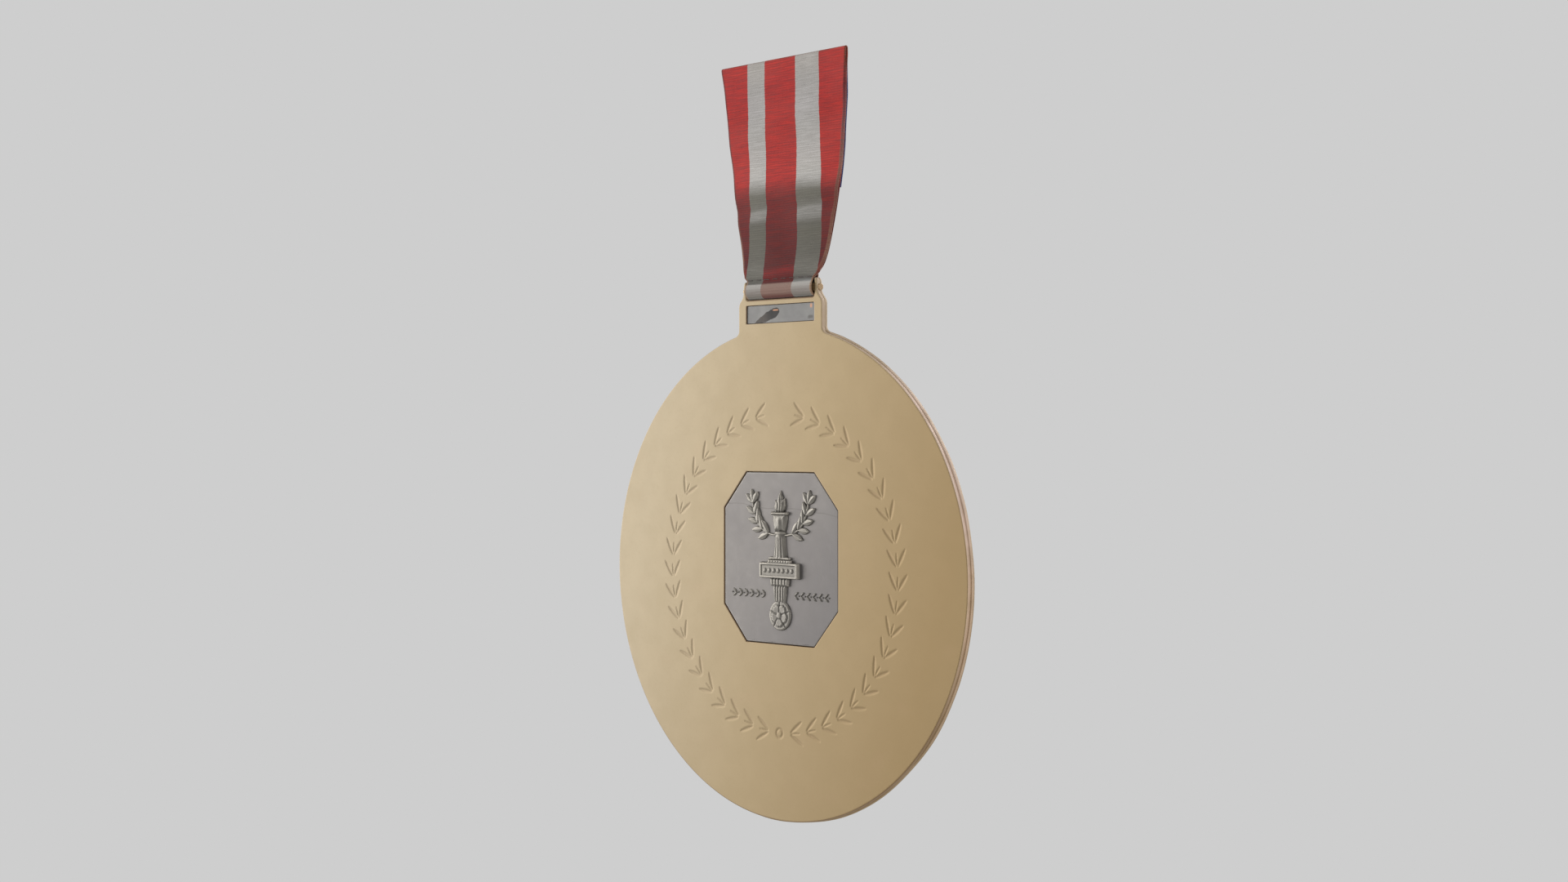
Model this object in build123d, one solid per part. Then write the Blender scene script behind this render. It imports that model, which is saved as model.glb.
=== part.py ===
from build123d import *
import math
import os

# Award medal on a short folded ribbon, with a sewn-on brooch behind the ribbon's top edge.
# Frame: +Z up, the obverse faces -Y, the origin is the middle of the ribbon's top fold.
# The medal is a round two-plate body with a square lug, an octagonal silver plaque let into
# the front plate, a small silver inlay in the lug, and a cross rod that the ribbon wraps.
# All sizes are in millimetres.

# ---------------------------------------------------------------- driving dimensions
DISC_R = 35.0            # radius of the front plate
BACK_R = 35.2            # radius of the back plate, which shows as a narrow ledge
DISC_Z = -73.0           # height of the disc's centre
PLATE_T = 0.60           # thickness of each plate, the parting plane is y = 0
RIM_ROUND = 0.22         # rounding of the outer edges
SEAM_CHAMFER = 0.07      # small break of the edges that meet at the parting plane

LUG_HALF_W = 8.4         # lug, measured across
RAIL_TOP = DISC_Z + 39.0     # top edge of the narrow rail above the lug window
WINDOW_TOP = DISC_Z + 38.2
WINDOW_BOTTOM = DISC_Z + 35.6
WINDOW_HALF_W = 6.85
SHOULDER_R = 1.35        # rounding of the lug's shoulders
LUG_ROOT_R = 1.0         # hollow where the lug runs into the disc
EAR_IN = 6.85            # ears that hold the rod, inner and outer face
EAR_OUT = 7.45
EAR_TOP_R = 1.6          # the ears end on this radius about the rod

ROD_Z = DISC_Z + 40.3    # axis of the cross rod
ROD_R = 0.70
ROD_HALF = 6.72
JOURNAL_R = 0.34
JOURNAL_CLEAR = 0.02
ROD_HEAD_R = 0.50
ROD_HEAD_T = 0.16

PLAQUE_W = 22.8          # octagonal plaque, a rectangle with cut corners
PLAQUE_H = 24.3
CUT_X = 4.6
CUT_Z = 5.2
PLAQUE_Z = DISC_Z + 2.2
PLAQUE_T = 0.50
PLAQUE_GAP = 0.08

RIBBON_T = 0.40          # ribbon round the rod, two plies of 0.2
LOOP_IN_R = 0.75
LOOP_OUT_R = LOOP_IN_R + RIBBON_T
LOOP_HALF_W = 6.65
RIBBON_TOP_Y = 0.35      # half thickness at the top, two plies and their air
RIBBON_LOW_Y = 0.75      # half thickness at the bottom, four plies
RIBBON_LEFT = [(-12.4, 0.0), (-11.7, -7.0), (-11.1, -13.0), (-10.2, -19.0), (-9.0, -25.0), (-8.4, -28.0), (-7.5, -30.4)]
RIBBON_RIGHT = [(12.5, 0.0), (12.3, -7.0), (11.7, -13.0), (10.8, -19.0), (9.6, -25.0), (8.8, -28.0), (7.7, -30.4)]

BACKING_T = 0.20         # lining strip sewn behind the ribbon's upper part
BACKING_BOTTOM = -19.0

BROOCH_Z = -4.2          # centre line of the brooch, its pin lies behind the ribbon
BASE_L = 18.4
BASE_H = 4.6
BASE_T = 0.5
BASE_Y = RIBBON_TOP_Y + BACKING_T   # the base lies on the lining
PIN_Y = BASE_Y + BASE_T + 1.55
PIN_R = 0.40
BASE_X = -1.0            # middle of the base plate
PIN_END = 8.0            # where the pin's point begins
HINGE_X = -8.9
CATCH_X = 6.0
RIVET_R = 0.38

os.makedirs("parts", exist_ok=True)


def save(shape, name):
    shape.label = name
    export_step(shape, f"parts/{name}.step")
    solids = shape.solids()
    print(name, "solids", len(solids), "volume", round(sum(s.volume for s in solids), 3))


def on_front(sketch, y, depth):
    """Extrudes a sketch, drawn in x and z, from the plane at y towards -Y by depth."""
    return extrude(Plane.XZ.offset(-y) * sketch, amount=depth, dir=(0, -1, 0))


def along_x(radius, x0, x1, y, z):
    """A cylinder along X."""
    return Pos((x0 + x1) / 2, y, z) * Rot(0, 90, 0) * Cylinder(radius, abs(x1 - x0))


def along_y(radius, x, z, y0, y1):
    """A cylinder along Y."""
    return Pos(x, (y0 + y1) / 2, z) * Rot(90, 0, 0) * Cylinder(radius, abs(y1 - y0))


def along_z(radius, x, y, z0, z1):
    """A cylinder along Z."""
    return Pos(x, y, (z0 + z1) / 2) * Cylinder(radius, abs(z1 - z0))


def octagon(width, height, cut_x, cut_z):
    w, h = width / 2, height / 2
    points = [(-w + cut_x, h), (w - cut_x, h), (w, h - cut_z), (w, -h + cut_z),
              (w - cut_x, -h), (-w + cut_x, -h), (-w, -h + cut_z), (-w, h - cut_z)]
    return Pos(0, PLAQUE_Z) * Polygon(*points, align=None)


def group(*shapes):
    found = []
    for s in shapes:
        found += s.solids()
    return Compound(children=found)


# ---------------------------------------------------------------- the two plates
def lug_outline(radius):
    """Disc and lug as one face, in x and z, without the ears."""
    disc = Pos(0, DISC_Z) * Circle(radius)
    lug = Pos(0, (RAIL_TOP + DISC_Z + 30.0) / 2) * Rectangle(2 * LUG_HALF_W, RAIL_TOP - DISC_Z - 30.0)
    top = [v for v in lug.vertices() if v.Y > RAIL_TOP - 0.1]
    lug = fillet(top, SHOULDER_R)
    face = disc + lug
    inner = [v for v in face.vertices()
             if abs(abs(v.X) - LUG_HALF_W) < 0.01 and v.Y < DISC_Z + 35.5]
    return fillet(inner, LUG_ROOT_R)


def plate(front):
    sign = -1 if front else 1
    depth = PLATE_T if front else -PLATE_T
    outer_y = sign * PLATE_T
    body = extrude(Plane.XZ * lug_outline(DISC_R if front else BACK_R), amount=depth, dir=(0, -1, 0))
    rim = [e for e in body.edges() if abs(e.center().Y - outer_y) < 1e-6]
    body = fillet(rim, RIM_ROUND)
    seam = [e for e in body.edges() if abs(e.center().Y) < 1e-6]
    body = chamfer(seam, SEAM_CHAMFER)
    # the ears rise from the shoulders and end round the rod
    for side in (-1, 1):
        xs = sorted((side * EAR_IN, side * EAR_OUT))
        flank = [(EAR_IN, RAIL_TOP - 1.3), (LUG_HALF_W - 0.12, RAIL_TOP - 1.3), (LUG_HALF_W - 0.14, RAIL_TOP - 0.95),
                 (LUG_HALF_W - 0.28, RAIL_TOP - 0.50), (LUG_HALF_W - 0.52, RAIL_TOP - 0.05), (EAR_OUT + 0.16, RAIL_TOP + 0.30),
                 (EAR_OUT + 0.04, RAIL_TOP + 0.62), (EAR_OUT, RAIL_TOP + 0.80), (EAR_OUT, ROD_Z), (EAR_IN, ROD_Z)]
        flank = [(side * x, z) for x, z in flank]
        ear = extrude(Plane.XZ * Polygon(*flank, align=None), amount=depth, dir=(0, -1, 0))
        cap = Pos((xs[0] + xs[1]) / 2, outer_y / 2, ROD_Z + EAR_TOP_R / 2) * Box(
            xs[1] - xs[0], PLATE_T, EAR_TOP_R)
        cap = cap & along_x(EAR_TOP_R, xs[0] - 1, xs[1] + 1, 0, ROD_Z)
        body = body + ear + cap
        body = body - along_x(JOURNAL_R + JOURNAL_CLEAR, xs[0] - 0.2, xs[1] + 0.2, 0, ROD_Z)
    return body


STUD_R = 0.6
PLATE_STUDS = [(29.5 * math.sin(math.radians(a)), DISC_Z + 29.5 * math.cos(math.radians(a)))
               for a in (30, 90, 150, 210, 270, 330)]
PLAQUE_STUDS = [(sx * 7.2, PLAQUE_Z + sz * 7.6) for sx in (-1, 1) for sz in (-1, 1)]
INLAY_STUDS = [(-4.6, (WINDOW_TOP + WINDOW_BOTTOM) / 2), (4.6, (WINDOW_TOP + WINDOW_BOTTOM) / 2)]
STUD_CLEAR = 0.02

front_plate = plate(True)
window = octagon(PLAQUE_W + 2 * PLAQUE_GAP, PLAQUE_H + 2 * PLAQUE_GAP, CUT_X, CUT_Z)
front_plate = front_plate - on_front(window, 0.1, PLATE_T + 0.2)
lug_window = Pos(0, (WINDOW_TOP + WINDOW_BOTTOM) / 2) * RectangleRounded(
    2 * WINDOW_HALF_W, WINDOW_TOP - WINDOW_BOTTOM, 0.18)
front_plate = front_plate - on_front(lug_window, 0.1, PLATE_T + 0.2)
window_edges = []
for e in front_plate.edges():
    box = e.bounding_box()
    flush = abs(box.min.Y + PLATE_T) < 1e-3 and abs(box.max.Y + PLATE_T) < 1e-3
    in_plaque = abs(e.center().X) < 11.8 and abs(e.center().Z - PLAQUE_Z) < 12.6
    in_lug = (box.min.X > -WINDOW_HALF_W - 0.05 and box.max.X < WINDOW_HALF_W + 0.05
              and box.min.Z > WINDOW_BOTTOM - 0.05 and box.max.Z < WINDOW_TOP + 0.05)
    if flush and (in_plaque or in_lug):
        window_edges.append(e)
front_plate = chamfer(window_edges, 0.06)
for x, z in PLATE_STUDS:
    front_plate = front_plate - along_y(STUD_R + STUD_CLEAR, x, z, -0.40, 0.1)

# a shallow struck wreath of leaf pairs runs round the face, open at the top and tied at the bottom
LEAF_R = 22.6            # circle of the wreath's stem
LEAF_PAIRS = 21          # pairs in each half
LEAF_PITCH = 8.1         # degrees from pair to pair
LEAF_L = 2.9
LEAF_W = 0.62
LEAF_TURN = 33.0         # lean of a leaf to the stem, in degrees
LEAF_DEPTH = 0.07


def leaf(x, z, turn):
    """A pointed leaf, as a face in x and z, its root at x, z and its tip towards turn."""
    half = LEAF_W / 2
    a = ThreePointArc((0, 0), (LEAF_L * 0.5, half), (LEAF_L, 0))
    b = ThreePointArc((LEAF_L, 0), (LEAF_L * 0.5, -half), (0, 0))
    return Pos(x, z) * Rot(0, 0, turn) * make_face([a, b])


cuts = []
for side in (-1, 1):
    for i in range(LEAF_PAIRS):
        at = 180 - side * (5.5 + i * LEAF_PITCH)      # degrees clockwise from the top
        for out in (-1, 1):
            r = LEAF_R + out * 0.10
            x, z = r * math.sin(math.radians(at)), r * math.cos(math.radians(at))
            onward = 90 - at + (90 if side > 0 else -90)  # direction along the stem, away from the tie
            cuts.append(on_front(leaf(x, DISC_Z + z, onward - side * out * LEAF_TURN), -PLATE_T + LEAF_DEPTH, 0.3))
cuts.append(on_front(Pos(0, DISC_Z - LEAF_R) * Circle(0.85), -PLATE_T + LEAF_DEPTH, 0.3))
front_plate = front_plate - cuts
save(front_plate, "front_plate")

back_plate = plate(False)
for x, z in PLATE_STUDS + PLAQUE_STUDS + INLAY_STUDS:
    back_plate = back_plate - along_y(STUD_R + STUD_CLEAR, x, z, -0.1, PLATE_T + 0.1)
    back_plate = back_plate - Pos(x, PLATE_T - 0.15, z) * Rot(-90, 0, 0) * Cone(
        STUD_R + STUD_CLEAR, STUD_R + STUD_CLEAR + 0.3, 0.3)
save(back_plate, "back_plate")


def stud(x, z, head):
    """A stud from y = head, through the back plate, closed flush in its countersink."""
    shank = along_y(STUD_R, x, z, head, PLATE_T - 0.02)
    flare = Pos(x, PLATE_T - 0.17, z) * Rot(-90, 0, 0) * Cone(STUD_R, STUD_R + 0.3, 0.3)
    return shank + flare


save(group(*[stud(x, z, -0.38) for x, z in PLATE_STUDS]), "plate_studs")

# ---------------------------------------------------------------- plaque, inlay and their studs
plaque = on_front(octagon(PLAQUE_W, PLAQUE_H, CUT_X, CUT_Z), 0, PLAQUE_T)
face = [e for e in plaque.edges() if abs(e.center().Y + PLAQUE_T) < 1e-6]
plaque = chamfer(face, 0.08)
for x0, x1 in ((-9.6, -2.5), (2.5, 9.6)):
    strip = Pos((x0 + x1) / 2, PLAQUE_Z - 5.2) * RectangleRounded(x1 - x0, 1.1, 0.5)
    plaque = plaque + on_front(strip, -PLAQUE_T + 0.05, 0.17)
EMBLEM_X = 0.15              # the relief sits a little to the right of the plaque's middle
POSTS = [(EMBLEM_X, PLAQUE_Z + 5.0), (EMBLEM_X, PLAQUE_Z - 1.7), (EMBLEM_X, PLAQUE_Z - 8.1)]
POST_R = 0.35
for x, z in POSTS:
    plaque = plaque - along_y(POST_R + 0.02, x, z, -PLAQUE_T - 0.3, -0.10)
for x, z in PLAQUE_STUDS:
    plaque = plaque - along_y(STUD_R + STUD_CLEAR, x, z, -0.30, 0.1)
save(plaque, "plaque")
save(group(*[stud(x, z, -0.28) for x, z in PLAQUE_STUDS]), "plaque_studs")

inlay_shape = Pos(0, (WINDOW_TOP + WINDOW_BOTTOM) / 2) * RectangleRounded(
    2 * WINDOW_HALF_W - 0.12, WINDOW_TOP - WINDOW_BOTTOM - 0.12, 0.15)
lug_inlay = on_front(inlay_shape, 0, PLATE_T - 0.18)
for x, z in INLAY_STUDS:
    lug_inlay = lug_inlay - along_y(STUD_R + STUD_CLEAR, x, z, -0.24, 0.1)
save(lug_inlay, "lug_inlay")
save(group(*[stud(x, z, -0.22) for x, z in INLAY_STUDS]), "inlay_studs")

# ---------------------------------------------------------------- applied relief on the plaque
FACE_Y = -PLAQUE_T


def relief(points, height, round_r):
    shape = Pos(0, PLAQUE_Z) * Polygon(*points, align=None)
    solid = on_front(shape, FACE_Y, height)
    top = [e for e in solid.edges() if abs(e.center().Y - (FACE_Y - height)) < 1e-6]
    try:
        solid = fillet(top, round_r)
    except Exception:
        solid = chamfer(top, round_r / 2)
    return solid


torch_half = [(0.0, 9.5), (0.40, 9.1), (0.66, 8.45), (0.72, 7.8), (0.66, 7.25), (0.90, 6.9), (1.38, 6.6),
              (1.56, 6.0), (1.50, 5.0), (1.38, 3.8), (1.30, 2.6), (1.35, 1.2), (1.50, 0.16),
              (2.30, 0.10), (2.30, -0.70)]
torch = relief(torch_half + [(-x, z) for x, z in reversed(torch_half) if x > 0], 0.56, 0.22)


def sprig():
    """The right-hand laurel spray: a curved stem that starts inside the torch, with pairs of pointed leaves."""
    p0, p1, p2 = (0.7, 3.25), (4.9, 3.3), (5.55, 7.7)

    def at(t):
        x, z = ((1 - t) ** 2 * a + 2 * t * (1 - t) * b + t * t * c for a, b, c in zip(p0, p1, p2))
        dx, dz = (2 * (1 - t) * (b - a) + 2 * t * (c - b) for a, b, c in zip(p0, p1, p2))
        return x, z, math.degrees(math.atan2(dz, dx))

    def blade(x, z, turn, length, wide, height):
        a = ThreePointArc((0, 0), (length * 0.5, wide / 2), (length, 0))
        b = ThreePointArc((length, 0), (length * 0.5, -wide / 2), (0, 0))
        face = Pos(x, PLAQUE_Z + z) * Rot(0, 0, turn) * make_face([a, b])
        return on_front(face, FACE_Y, height)

    left, right = [], []
    for i in range(13):
        x, z, turn = at(i / 12)
        nx, nz = -math.sin(math.radians(turn)) * 0.17, math.cos(math.radians(turn)) * 0.17
        left.append((x + nx, z + nz))
        right.append((x - nx, z - nz))
    stem = on_front(Pos(0, PLAQUE_Z) * Polygon(*(left + right[::-1]), align=None), FACE_Y, 0.23)
    leaves = []
    for i in range(SPRAY_PAIRS):
        t = 0.22 + 0.78 * i / (SPRAY_PAIRS - 1)
        x, z, turn = at(t)
        for side in (-1, 1):
            leaves.append(blade(x, z, turn + side * SPRAY_SPREAD, 2.35 - 0.40 * t, SPRAY_LEAF_W, 0.29))
    x, z, turn = at(1.0)
    leaves.append(blade(x, z, turn, 2.05, SPRAY_LEAF_W, 0.29))
    return stem + leaves


SPRAY_PAIRS = 5
SPRAY_SPREAD = 38.0          # lean of a leaf to the stem, in degrees
SPRAY_LEAF_W = 0.98
spray_right = sprig()
spray_left = mirror(spray_right, about=Plane.YZ)
tablet = relief([(-3.8, -0.62), (3.8, -0.62), (3.8, -2.80), (-3.8, -2.80)], 0.62, 0.15)
bracket = relief([(-1.95, -2.7), (1.95, -2.7), (1.75, -3.7), (1.35, -4.9), (1.2, -6.4),
                  (-1.2, -6.4), (-1.35, -4.9), (-1.75, -3.7)], 0.44, 0.15)
rosette = on_front(Pos(0, PLAQUE_Z - 8.1) * Circle(2.15), FACE_Y, 0.40)
top = [e for e in rosette.edges() if abs(e.center().Y - (FACE_Y - 0.40)) < 1e-6]
rosette = fillet(top, 0.2)
emblem = Pos(EMBLEM_X, 0, 0) * (torch + spray_right + spray_left + tablet + bracket + rosette)
for x, z in POSTS:
    emblem = emblem - along_y(POST_R + 0.02, x, z, FACE_Y - 0.25, FACE_Y + 0.1)
save(emblem, "emblem")

save(group(*[along_y(POST_R, x, z, FACE_Y - 0.23, -0.12) for x, z in POSTS]), "emblem_posts")

# ---------------------------------------------------------------- cross rod
rod = along_x(ROD_R, -ROD_HALF, ROD_HALF, 0, ROD_Z)
rod = rod + along_x(JOURNAL_R, -EAR_OUT - 0.05, EAR_OUT + 0.05, 0, ROD_Z)
for side in (-1, 1):
    head = along_x(ROD_HEAD_R, side * (EAR_OUT + 0.02), side * (EAR_OUT + 0.02 + ROD_HEAD_T), 0, ROD_Z)
    rim = [e for e in head.edges() if abs(e.center().X - side * (EAR_OUT + 0.02 + ROD_HEAD_T)) < 1e-6
           and e.geom_type == GeomType.CIRCLE]
    rod = rod + fillet(rim, 0.09)
save(rod, "suspension_rod")

# ---------------------------------------------------------------- ribbon
side_profile = Plane.YZ * make_face(Polyline(
    (-0.70, ROD_Z + 0.80), (0.70, ROD_Z + 0.80), (RIBBON_LOW_Y, ROD_Z + 1.25),
    (RIBBON_LOW_Y, ROD_Z + 8.0), (RIBBON_TOP_Y, BACKING_BOTTOM - 0.5), (RIBBON_TOP_Y, -0.40), (0.15, 0.0),
    (-0.15, 0.0), (-RIBBON_TOP_Y, -0.40), (-RIBBON_TOP_Y, -9.0), (-RIBBON_LOW_Y, ROD_Z + 8.0),
    (-RIBBON_LOW_Y, ROD_Z + 1.25), close=True))
slab = extrude(side_profile, amount=14.0, both=True)
front_points = (RIBBON_RIGHT + [(7.2, ROD_Z + 1.75), (LOOP_HALF_W, ROD_Z + 1.70), (LOOP_HALF_W, ROD_Z)]
                + [(-LOOP_HALF_W, ROD_Z), (-LOOP_HALF_W, ROD_Z + 1.70), (-7.2, ROD_Z + 1.75)]
                + list(reversed(RIBBON_LEFT)))
front_profile = extrude(Plane.XZ * make_face(Polyline(*front_points, close=True)), amount=3.0, both=True)
ribbon = (slab & front_profile) + along_x(LOOP_OUT_R, -LOOP_HALF_W, LOOP_HALF_W, 0, ROD_Z)
ribbon = ribbon - along_x(LOOP_IN_R, -LOOP_HALF_W - 1, LOOP_HALF_W + 1, 0, ROD_Z)
save(ribbon, "ribbon")

# lining strip behind the upper part
backing_points = [(-12.1, -0.45), (12.35, -0.45), (12.15, -7.0), (11.6, -13.0), (10.75, BACKING_BOTTOM),
                  (-10.1, BACKING_BOTTOM), (-11.0, -13.0), (-11.6, -7.0)]
ribbon_backing = extrude(Plane.XZ.offset(-RIBBON_TOP_Y) * make_face(Polyline(*backing_points, close=True)),
                         amount=BACKING_T, dir=(0, 1, 0))
save(ribbon_backing, "ribbon_backing")
thread = []
for i in range(9):
    x = -8.2 + i * 2.05
    thread.append(along_x(0.10, x - 0.7, x + 0.7, RIBBON_TOP_Y + BACKING_T + 0.10, BACKING_BOTTOM + 0.9))
save(group(*thread), "backing_stitches")

# a row of thread just above the rod closes the ribbon's loop, on both faces
SEAM_Z = ROD_Z + 1.5
stitches = []
for i in range(8):
    x = -5.95 + i * 1.7
    for side in (-1, 1):
        y = side * (RIBBON_LOW_Y + 0.11)
        stitches.append(along_x(0.11, x - 0.5, x + 0.5, y, SEAM_Z))
save(group(*stitches), "seam_stitches")

# ---------------------------------------------------------------- brooch behind the top edge
base_plate = Plane.XZ.offset(-(BASE_Y + BASE_T)) * (Pos(BASE_X, BROOCH_Z) * RectangleRounded(BASE_L, BASE_H, 1.2))
base = extrude(base_plate, amount=BASE_T)
HOLES = [-6.0, -1.2, 3.6]
for x in HOLES:
    base = base - along_y(0.65, x, BROOCH_Z, BASE_Y - 0.1, BASE_Y + BASE_T + 0.1)
top_y = BASE_Y + BASE_T
# two cheeks carry the hinge rivet, which stands upright
for side in (-1, 1):
    z = BROOCH_Z + side * 0.80
    cheek = Pos(HINGE_X, (top_y - 0.1 + PIN_Y) / 2, z) * Box(2.0, PIN_Y - top_y + 0.1, 0.45)
    cheek = cheek + along_z(1.0, HINGE_X, PIN_Y, z - 0.225, z + 0.225)
    base = base + cheek
base = base - along_z(RIVET_R + 0.01, HINGE_X, PIN_Y, BROOCH_Z - 2, BROOCH_Z + 2)
# the catch is a ring open to the back, which holds the turning lock
CATCH_IN, CATCH_OUT = 1.32, 1.72
ring = along_x(CATCH_OUT, CATCH_X - 0.6, CATCH_X + 0.6, PIN_Y, BROOCH_Z) - along_x(
    CATCH_IN, CATCH_X - 1, CATCH_X + 1, PIN_Y, BROOCH_Z)
ring = ring - Pos(CATCH_X, PIN_Y + 1.6, BROOCH_Z) * Box(3, 2.0, 1.9)
foot = Pos(CATCH_X, (top_y - 0.1 + PIN_Y - CATCH_IN - 0.05) / 2, BROOCH_Z) * Box(
    1.2, PIN_Y - CATCH_IN - 0.05 - top_y + 0.1, 1.6)
foot = foot - along_x(CATCH_IN, CATCH_X - 1, CATCH_X + 1, PIN_Y, BROOCH_Z)
base = base + ring + foot
save(base, "brooch_base")

rivet = along_z(RIVET_R, HINGE_X, PIN_Y, BROOCH_Z - 1.05, BROOCH_Z + 1.05)
for side in (-1, 1):
    z0, z1 = sorted((BROOCH_Z + side * 1.045, BROOCH_Z + side * 1.25))
    rivet = rivet + along_z(0.62, HINGE_X, PIN_Y, z0, z1)
save(rivet, "brooch_hinge_rivet")

eye = along_z(0.92, HINGE_X, PIN_Y, BROOCH_Z - 0.5, BROOCH_Z + 0.5)
stem = along_x(PIN_R, HINGE_X + 0.5, PIN_END, PIN_Y, BROOCH_Z)
point = Pos(PIN_END + 0.75, PIN_Y, BROOCH_Z) * Rot(0, 90, 0) * Cone(PIN_R, 0.08, 1.5)
pin = eye + stem + point
pin = pin - along_z(RIVET_R + 0.03, HINGE_X, PIN_Y, BROOCH_Z - 2, BROOCH_Z + 2)
save(pin, "brooch_pin")

# the lock is a split sleeve with a thumb tab, its slot faces the back when it is open
LOCK_OUT, LOCK_IN = CATCH_IN - 0.04, PIN_R + 0.08
x0, x1 = CATCH_X - 0.9, CATCH_X + 1.7
lock = along_x(LOCK_OUT, x0, x1, PIN_Y, BROOCH_Z) - along_x(LOCK_IN, x0 - 1, x1 + 1, PIN_Y, BROOCH_Z)
for side in (-1, 1):
    lock = lock + (along_x(1.47, *sorted((CATCH_X + side * 0.65, CATCH_X + side * 0.9)), PIN_Y, BROOCH_Z)
                   - along_x(LOCK_IN, x0 - 1, x1 + 1, PIN_Y, BROOCH_Z))
tab = Pos((CATCH_X + 0.95 + x1) / 2, PIN_Y + 0.15, BROOCH_Z + 1.65) * Box(x1 - CATCH_X - 0.95, 0.5, 1.1)
lock = lock + tab
lock = lock - Pos((x0 + x1) / 2, PIN_Y + 1.0, BROOCH_Z) * Box(x1 - x0 + 1, 2.0, 2 * LOCK_IN)
save(lock, "brooch_lock")

# thread through the base's holes ties it to the ribbon, over both long edges
ties = []
for x in HOLES:
    for side in (-1, 1):
        z_in = BROOCH_Z + side * 0.40
        z_out = BROOCH_Z + side * (BASE_H / 2 + 0.16)
        y_out = top_y + 0.13
        for dx in (-0.2, 0.2):
            bar = along_z(0.12, x + dx, y_out, *sorted((z_in, z_out)))
            leg_in = along_y(0.12, x + dx, z_in, BASE_Y, y_out)
            leg_out = along_y(0.12, x + dx, z_out, BASE_Y, y_out)
            ball = Pos(x + dx, y_out, z_in) * Sphere(0.12)
            ball_out = Pos(x + dx, y_out, z_out) * Sphere(0.12)
            ties.append(bar + leg_in + leg_out + ball + ball_out)
save(group(*ties), "brooch_stitches")
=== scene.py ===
import bpy
import bmesh
import math
import numpy as np
from mathutils import Vector, Matrix
from mathutils.geometry import tessellate_polygon


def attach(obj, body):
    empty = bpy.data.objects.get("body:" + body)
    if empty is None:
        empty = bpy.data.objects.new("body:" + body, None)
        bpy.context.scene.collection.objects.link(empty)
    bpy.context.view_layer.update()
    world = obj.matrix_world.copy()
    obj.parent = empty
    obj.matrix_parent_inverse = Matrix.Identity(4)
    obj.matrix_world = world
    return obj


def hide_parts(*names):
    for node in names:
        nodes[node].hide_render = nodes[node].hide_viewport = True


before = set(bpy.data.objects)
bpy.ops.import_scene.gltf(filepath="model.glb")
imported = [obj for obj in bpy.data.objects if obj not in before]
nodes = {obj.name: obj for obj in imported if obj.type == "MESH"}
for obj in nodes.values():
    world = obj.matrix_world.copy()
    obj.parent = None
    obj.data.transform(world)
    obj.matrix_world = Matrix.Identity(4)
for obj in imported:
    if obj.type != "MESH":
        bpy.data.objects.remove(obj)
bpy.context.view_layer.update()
MM = 0.001

# ------------------------------------------------------------------ shared sizes, in millimetres
DISC_Z = -73.0
ROD_Z = DISC_Z + 40.3
PLATE_T = 0.60
FRONT_R = 35.0
BACK_R = 35.2
PLAQUE_Z = DISC_Z + 2.2
PLAQUE_FACE = -0.50
SEAM_Z = ROD_Z + 1.5

rng = np.random.default_rng(7)


# ------------------------------------------------------------------ mesh helpers
def lin(r, g, b, a=1.0):
    """sRGB 0..255 to linear"""
    def f(c):
        c = c / 255.0
        return c / 12.92 if c <= 0.04045 else ((c + 0.055) / 1.055) ** 2.4
    return (f(r), f(g), f(b), a)


def make(name, verts, faces, mats, body=None, smooth=None, attrs=None, mat_index=None, sharp=None):
    """A mesh object from vertices in millimetres."""
    me = bpy.data.meshes.new(name)
    me.from_pydata((np.asarray(verts, float) * MM).tolist(), [], [tuple(int(i) for i in f) for f in faces])
    me.validate()
    if smooth is None:
        me.polygons.foreach_set("use_smooth", [True] * len(me.polygons))
    else:
        me.polygons.foreach_set("use_smooth", list(smooth)[:len(me.polygons)])
    for k, v in (attrs or {}).items():
        a = me.attributes.new(k, "FLOAT", "POINT")
        a.data.foreach_set("value", np.asarray(v, np.float32))
    if not isinstance(mats, (list, tuple)):
        mats = [mats]
    for m in mats:
        me.materials.append(m)
    if mat_index is not None:
        me.polygons.foreach_set("material_index", list(mat_index)[:len(me.polygons)])
    me.update()
    if sharp is not None:
        me.set_sharp_from_angle(angle=math.radians(sharp))
    ob = bpy.data.objects.new(name, me)
    bpy.context.scene.collection.objects.link(ob)
    if body:
        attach(ob, body)
    return ob


def interp(x, table, col=1):
    xs = [r[0] for r in table]
    ys = [r[col] for r in table]
    if xs[0] > xs[-1]:
        xs, ys = xs[::-1], ys[::-1]
    return np.interp(x, xs, ys)


def smooth_interp(x, table, col=1):
    """Monotone-ish smooth interpolation: linear table passed through a light moving average."""
    x = np.asarray(x, float)
    out = np.zeros_like(x)
    ds = np.linspace(-1.0, 1.0, 9)
    for d in ds:
        out = out + interp(x + d * 0.8, table, col)
    return out / len(ds)


def waves(seed, n, lo, hi):
    """A fixed smooth random function of one or two coordinates, as a sum of sines."""
    r = np.random.default_rng(seed)
    k = r.uniform(lo, hi, n)
    ang = r.uniform(0, 2 * math.pi, n)
    ph = r.uniform(0, 2 * math.pi, n)
    am = 1.0 / np.sqrt(n) * r.uniform(0.6, 1.4, n)

    def f(x, y=0.0):
        x = np.asarray(x, float)
        y = np.asarray(y, float)
        out = 0.0
        for i in range(n):
            out = out + am[i] * np.sin(2 * math.pi * k[i] * (x * math.cos(ang[i]) + y * math.sin(ang[i])) + ph[i])
        return out
    return f


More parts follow.
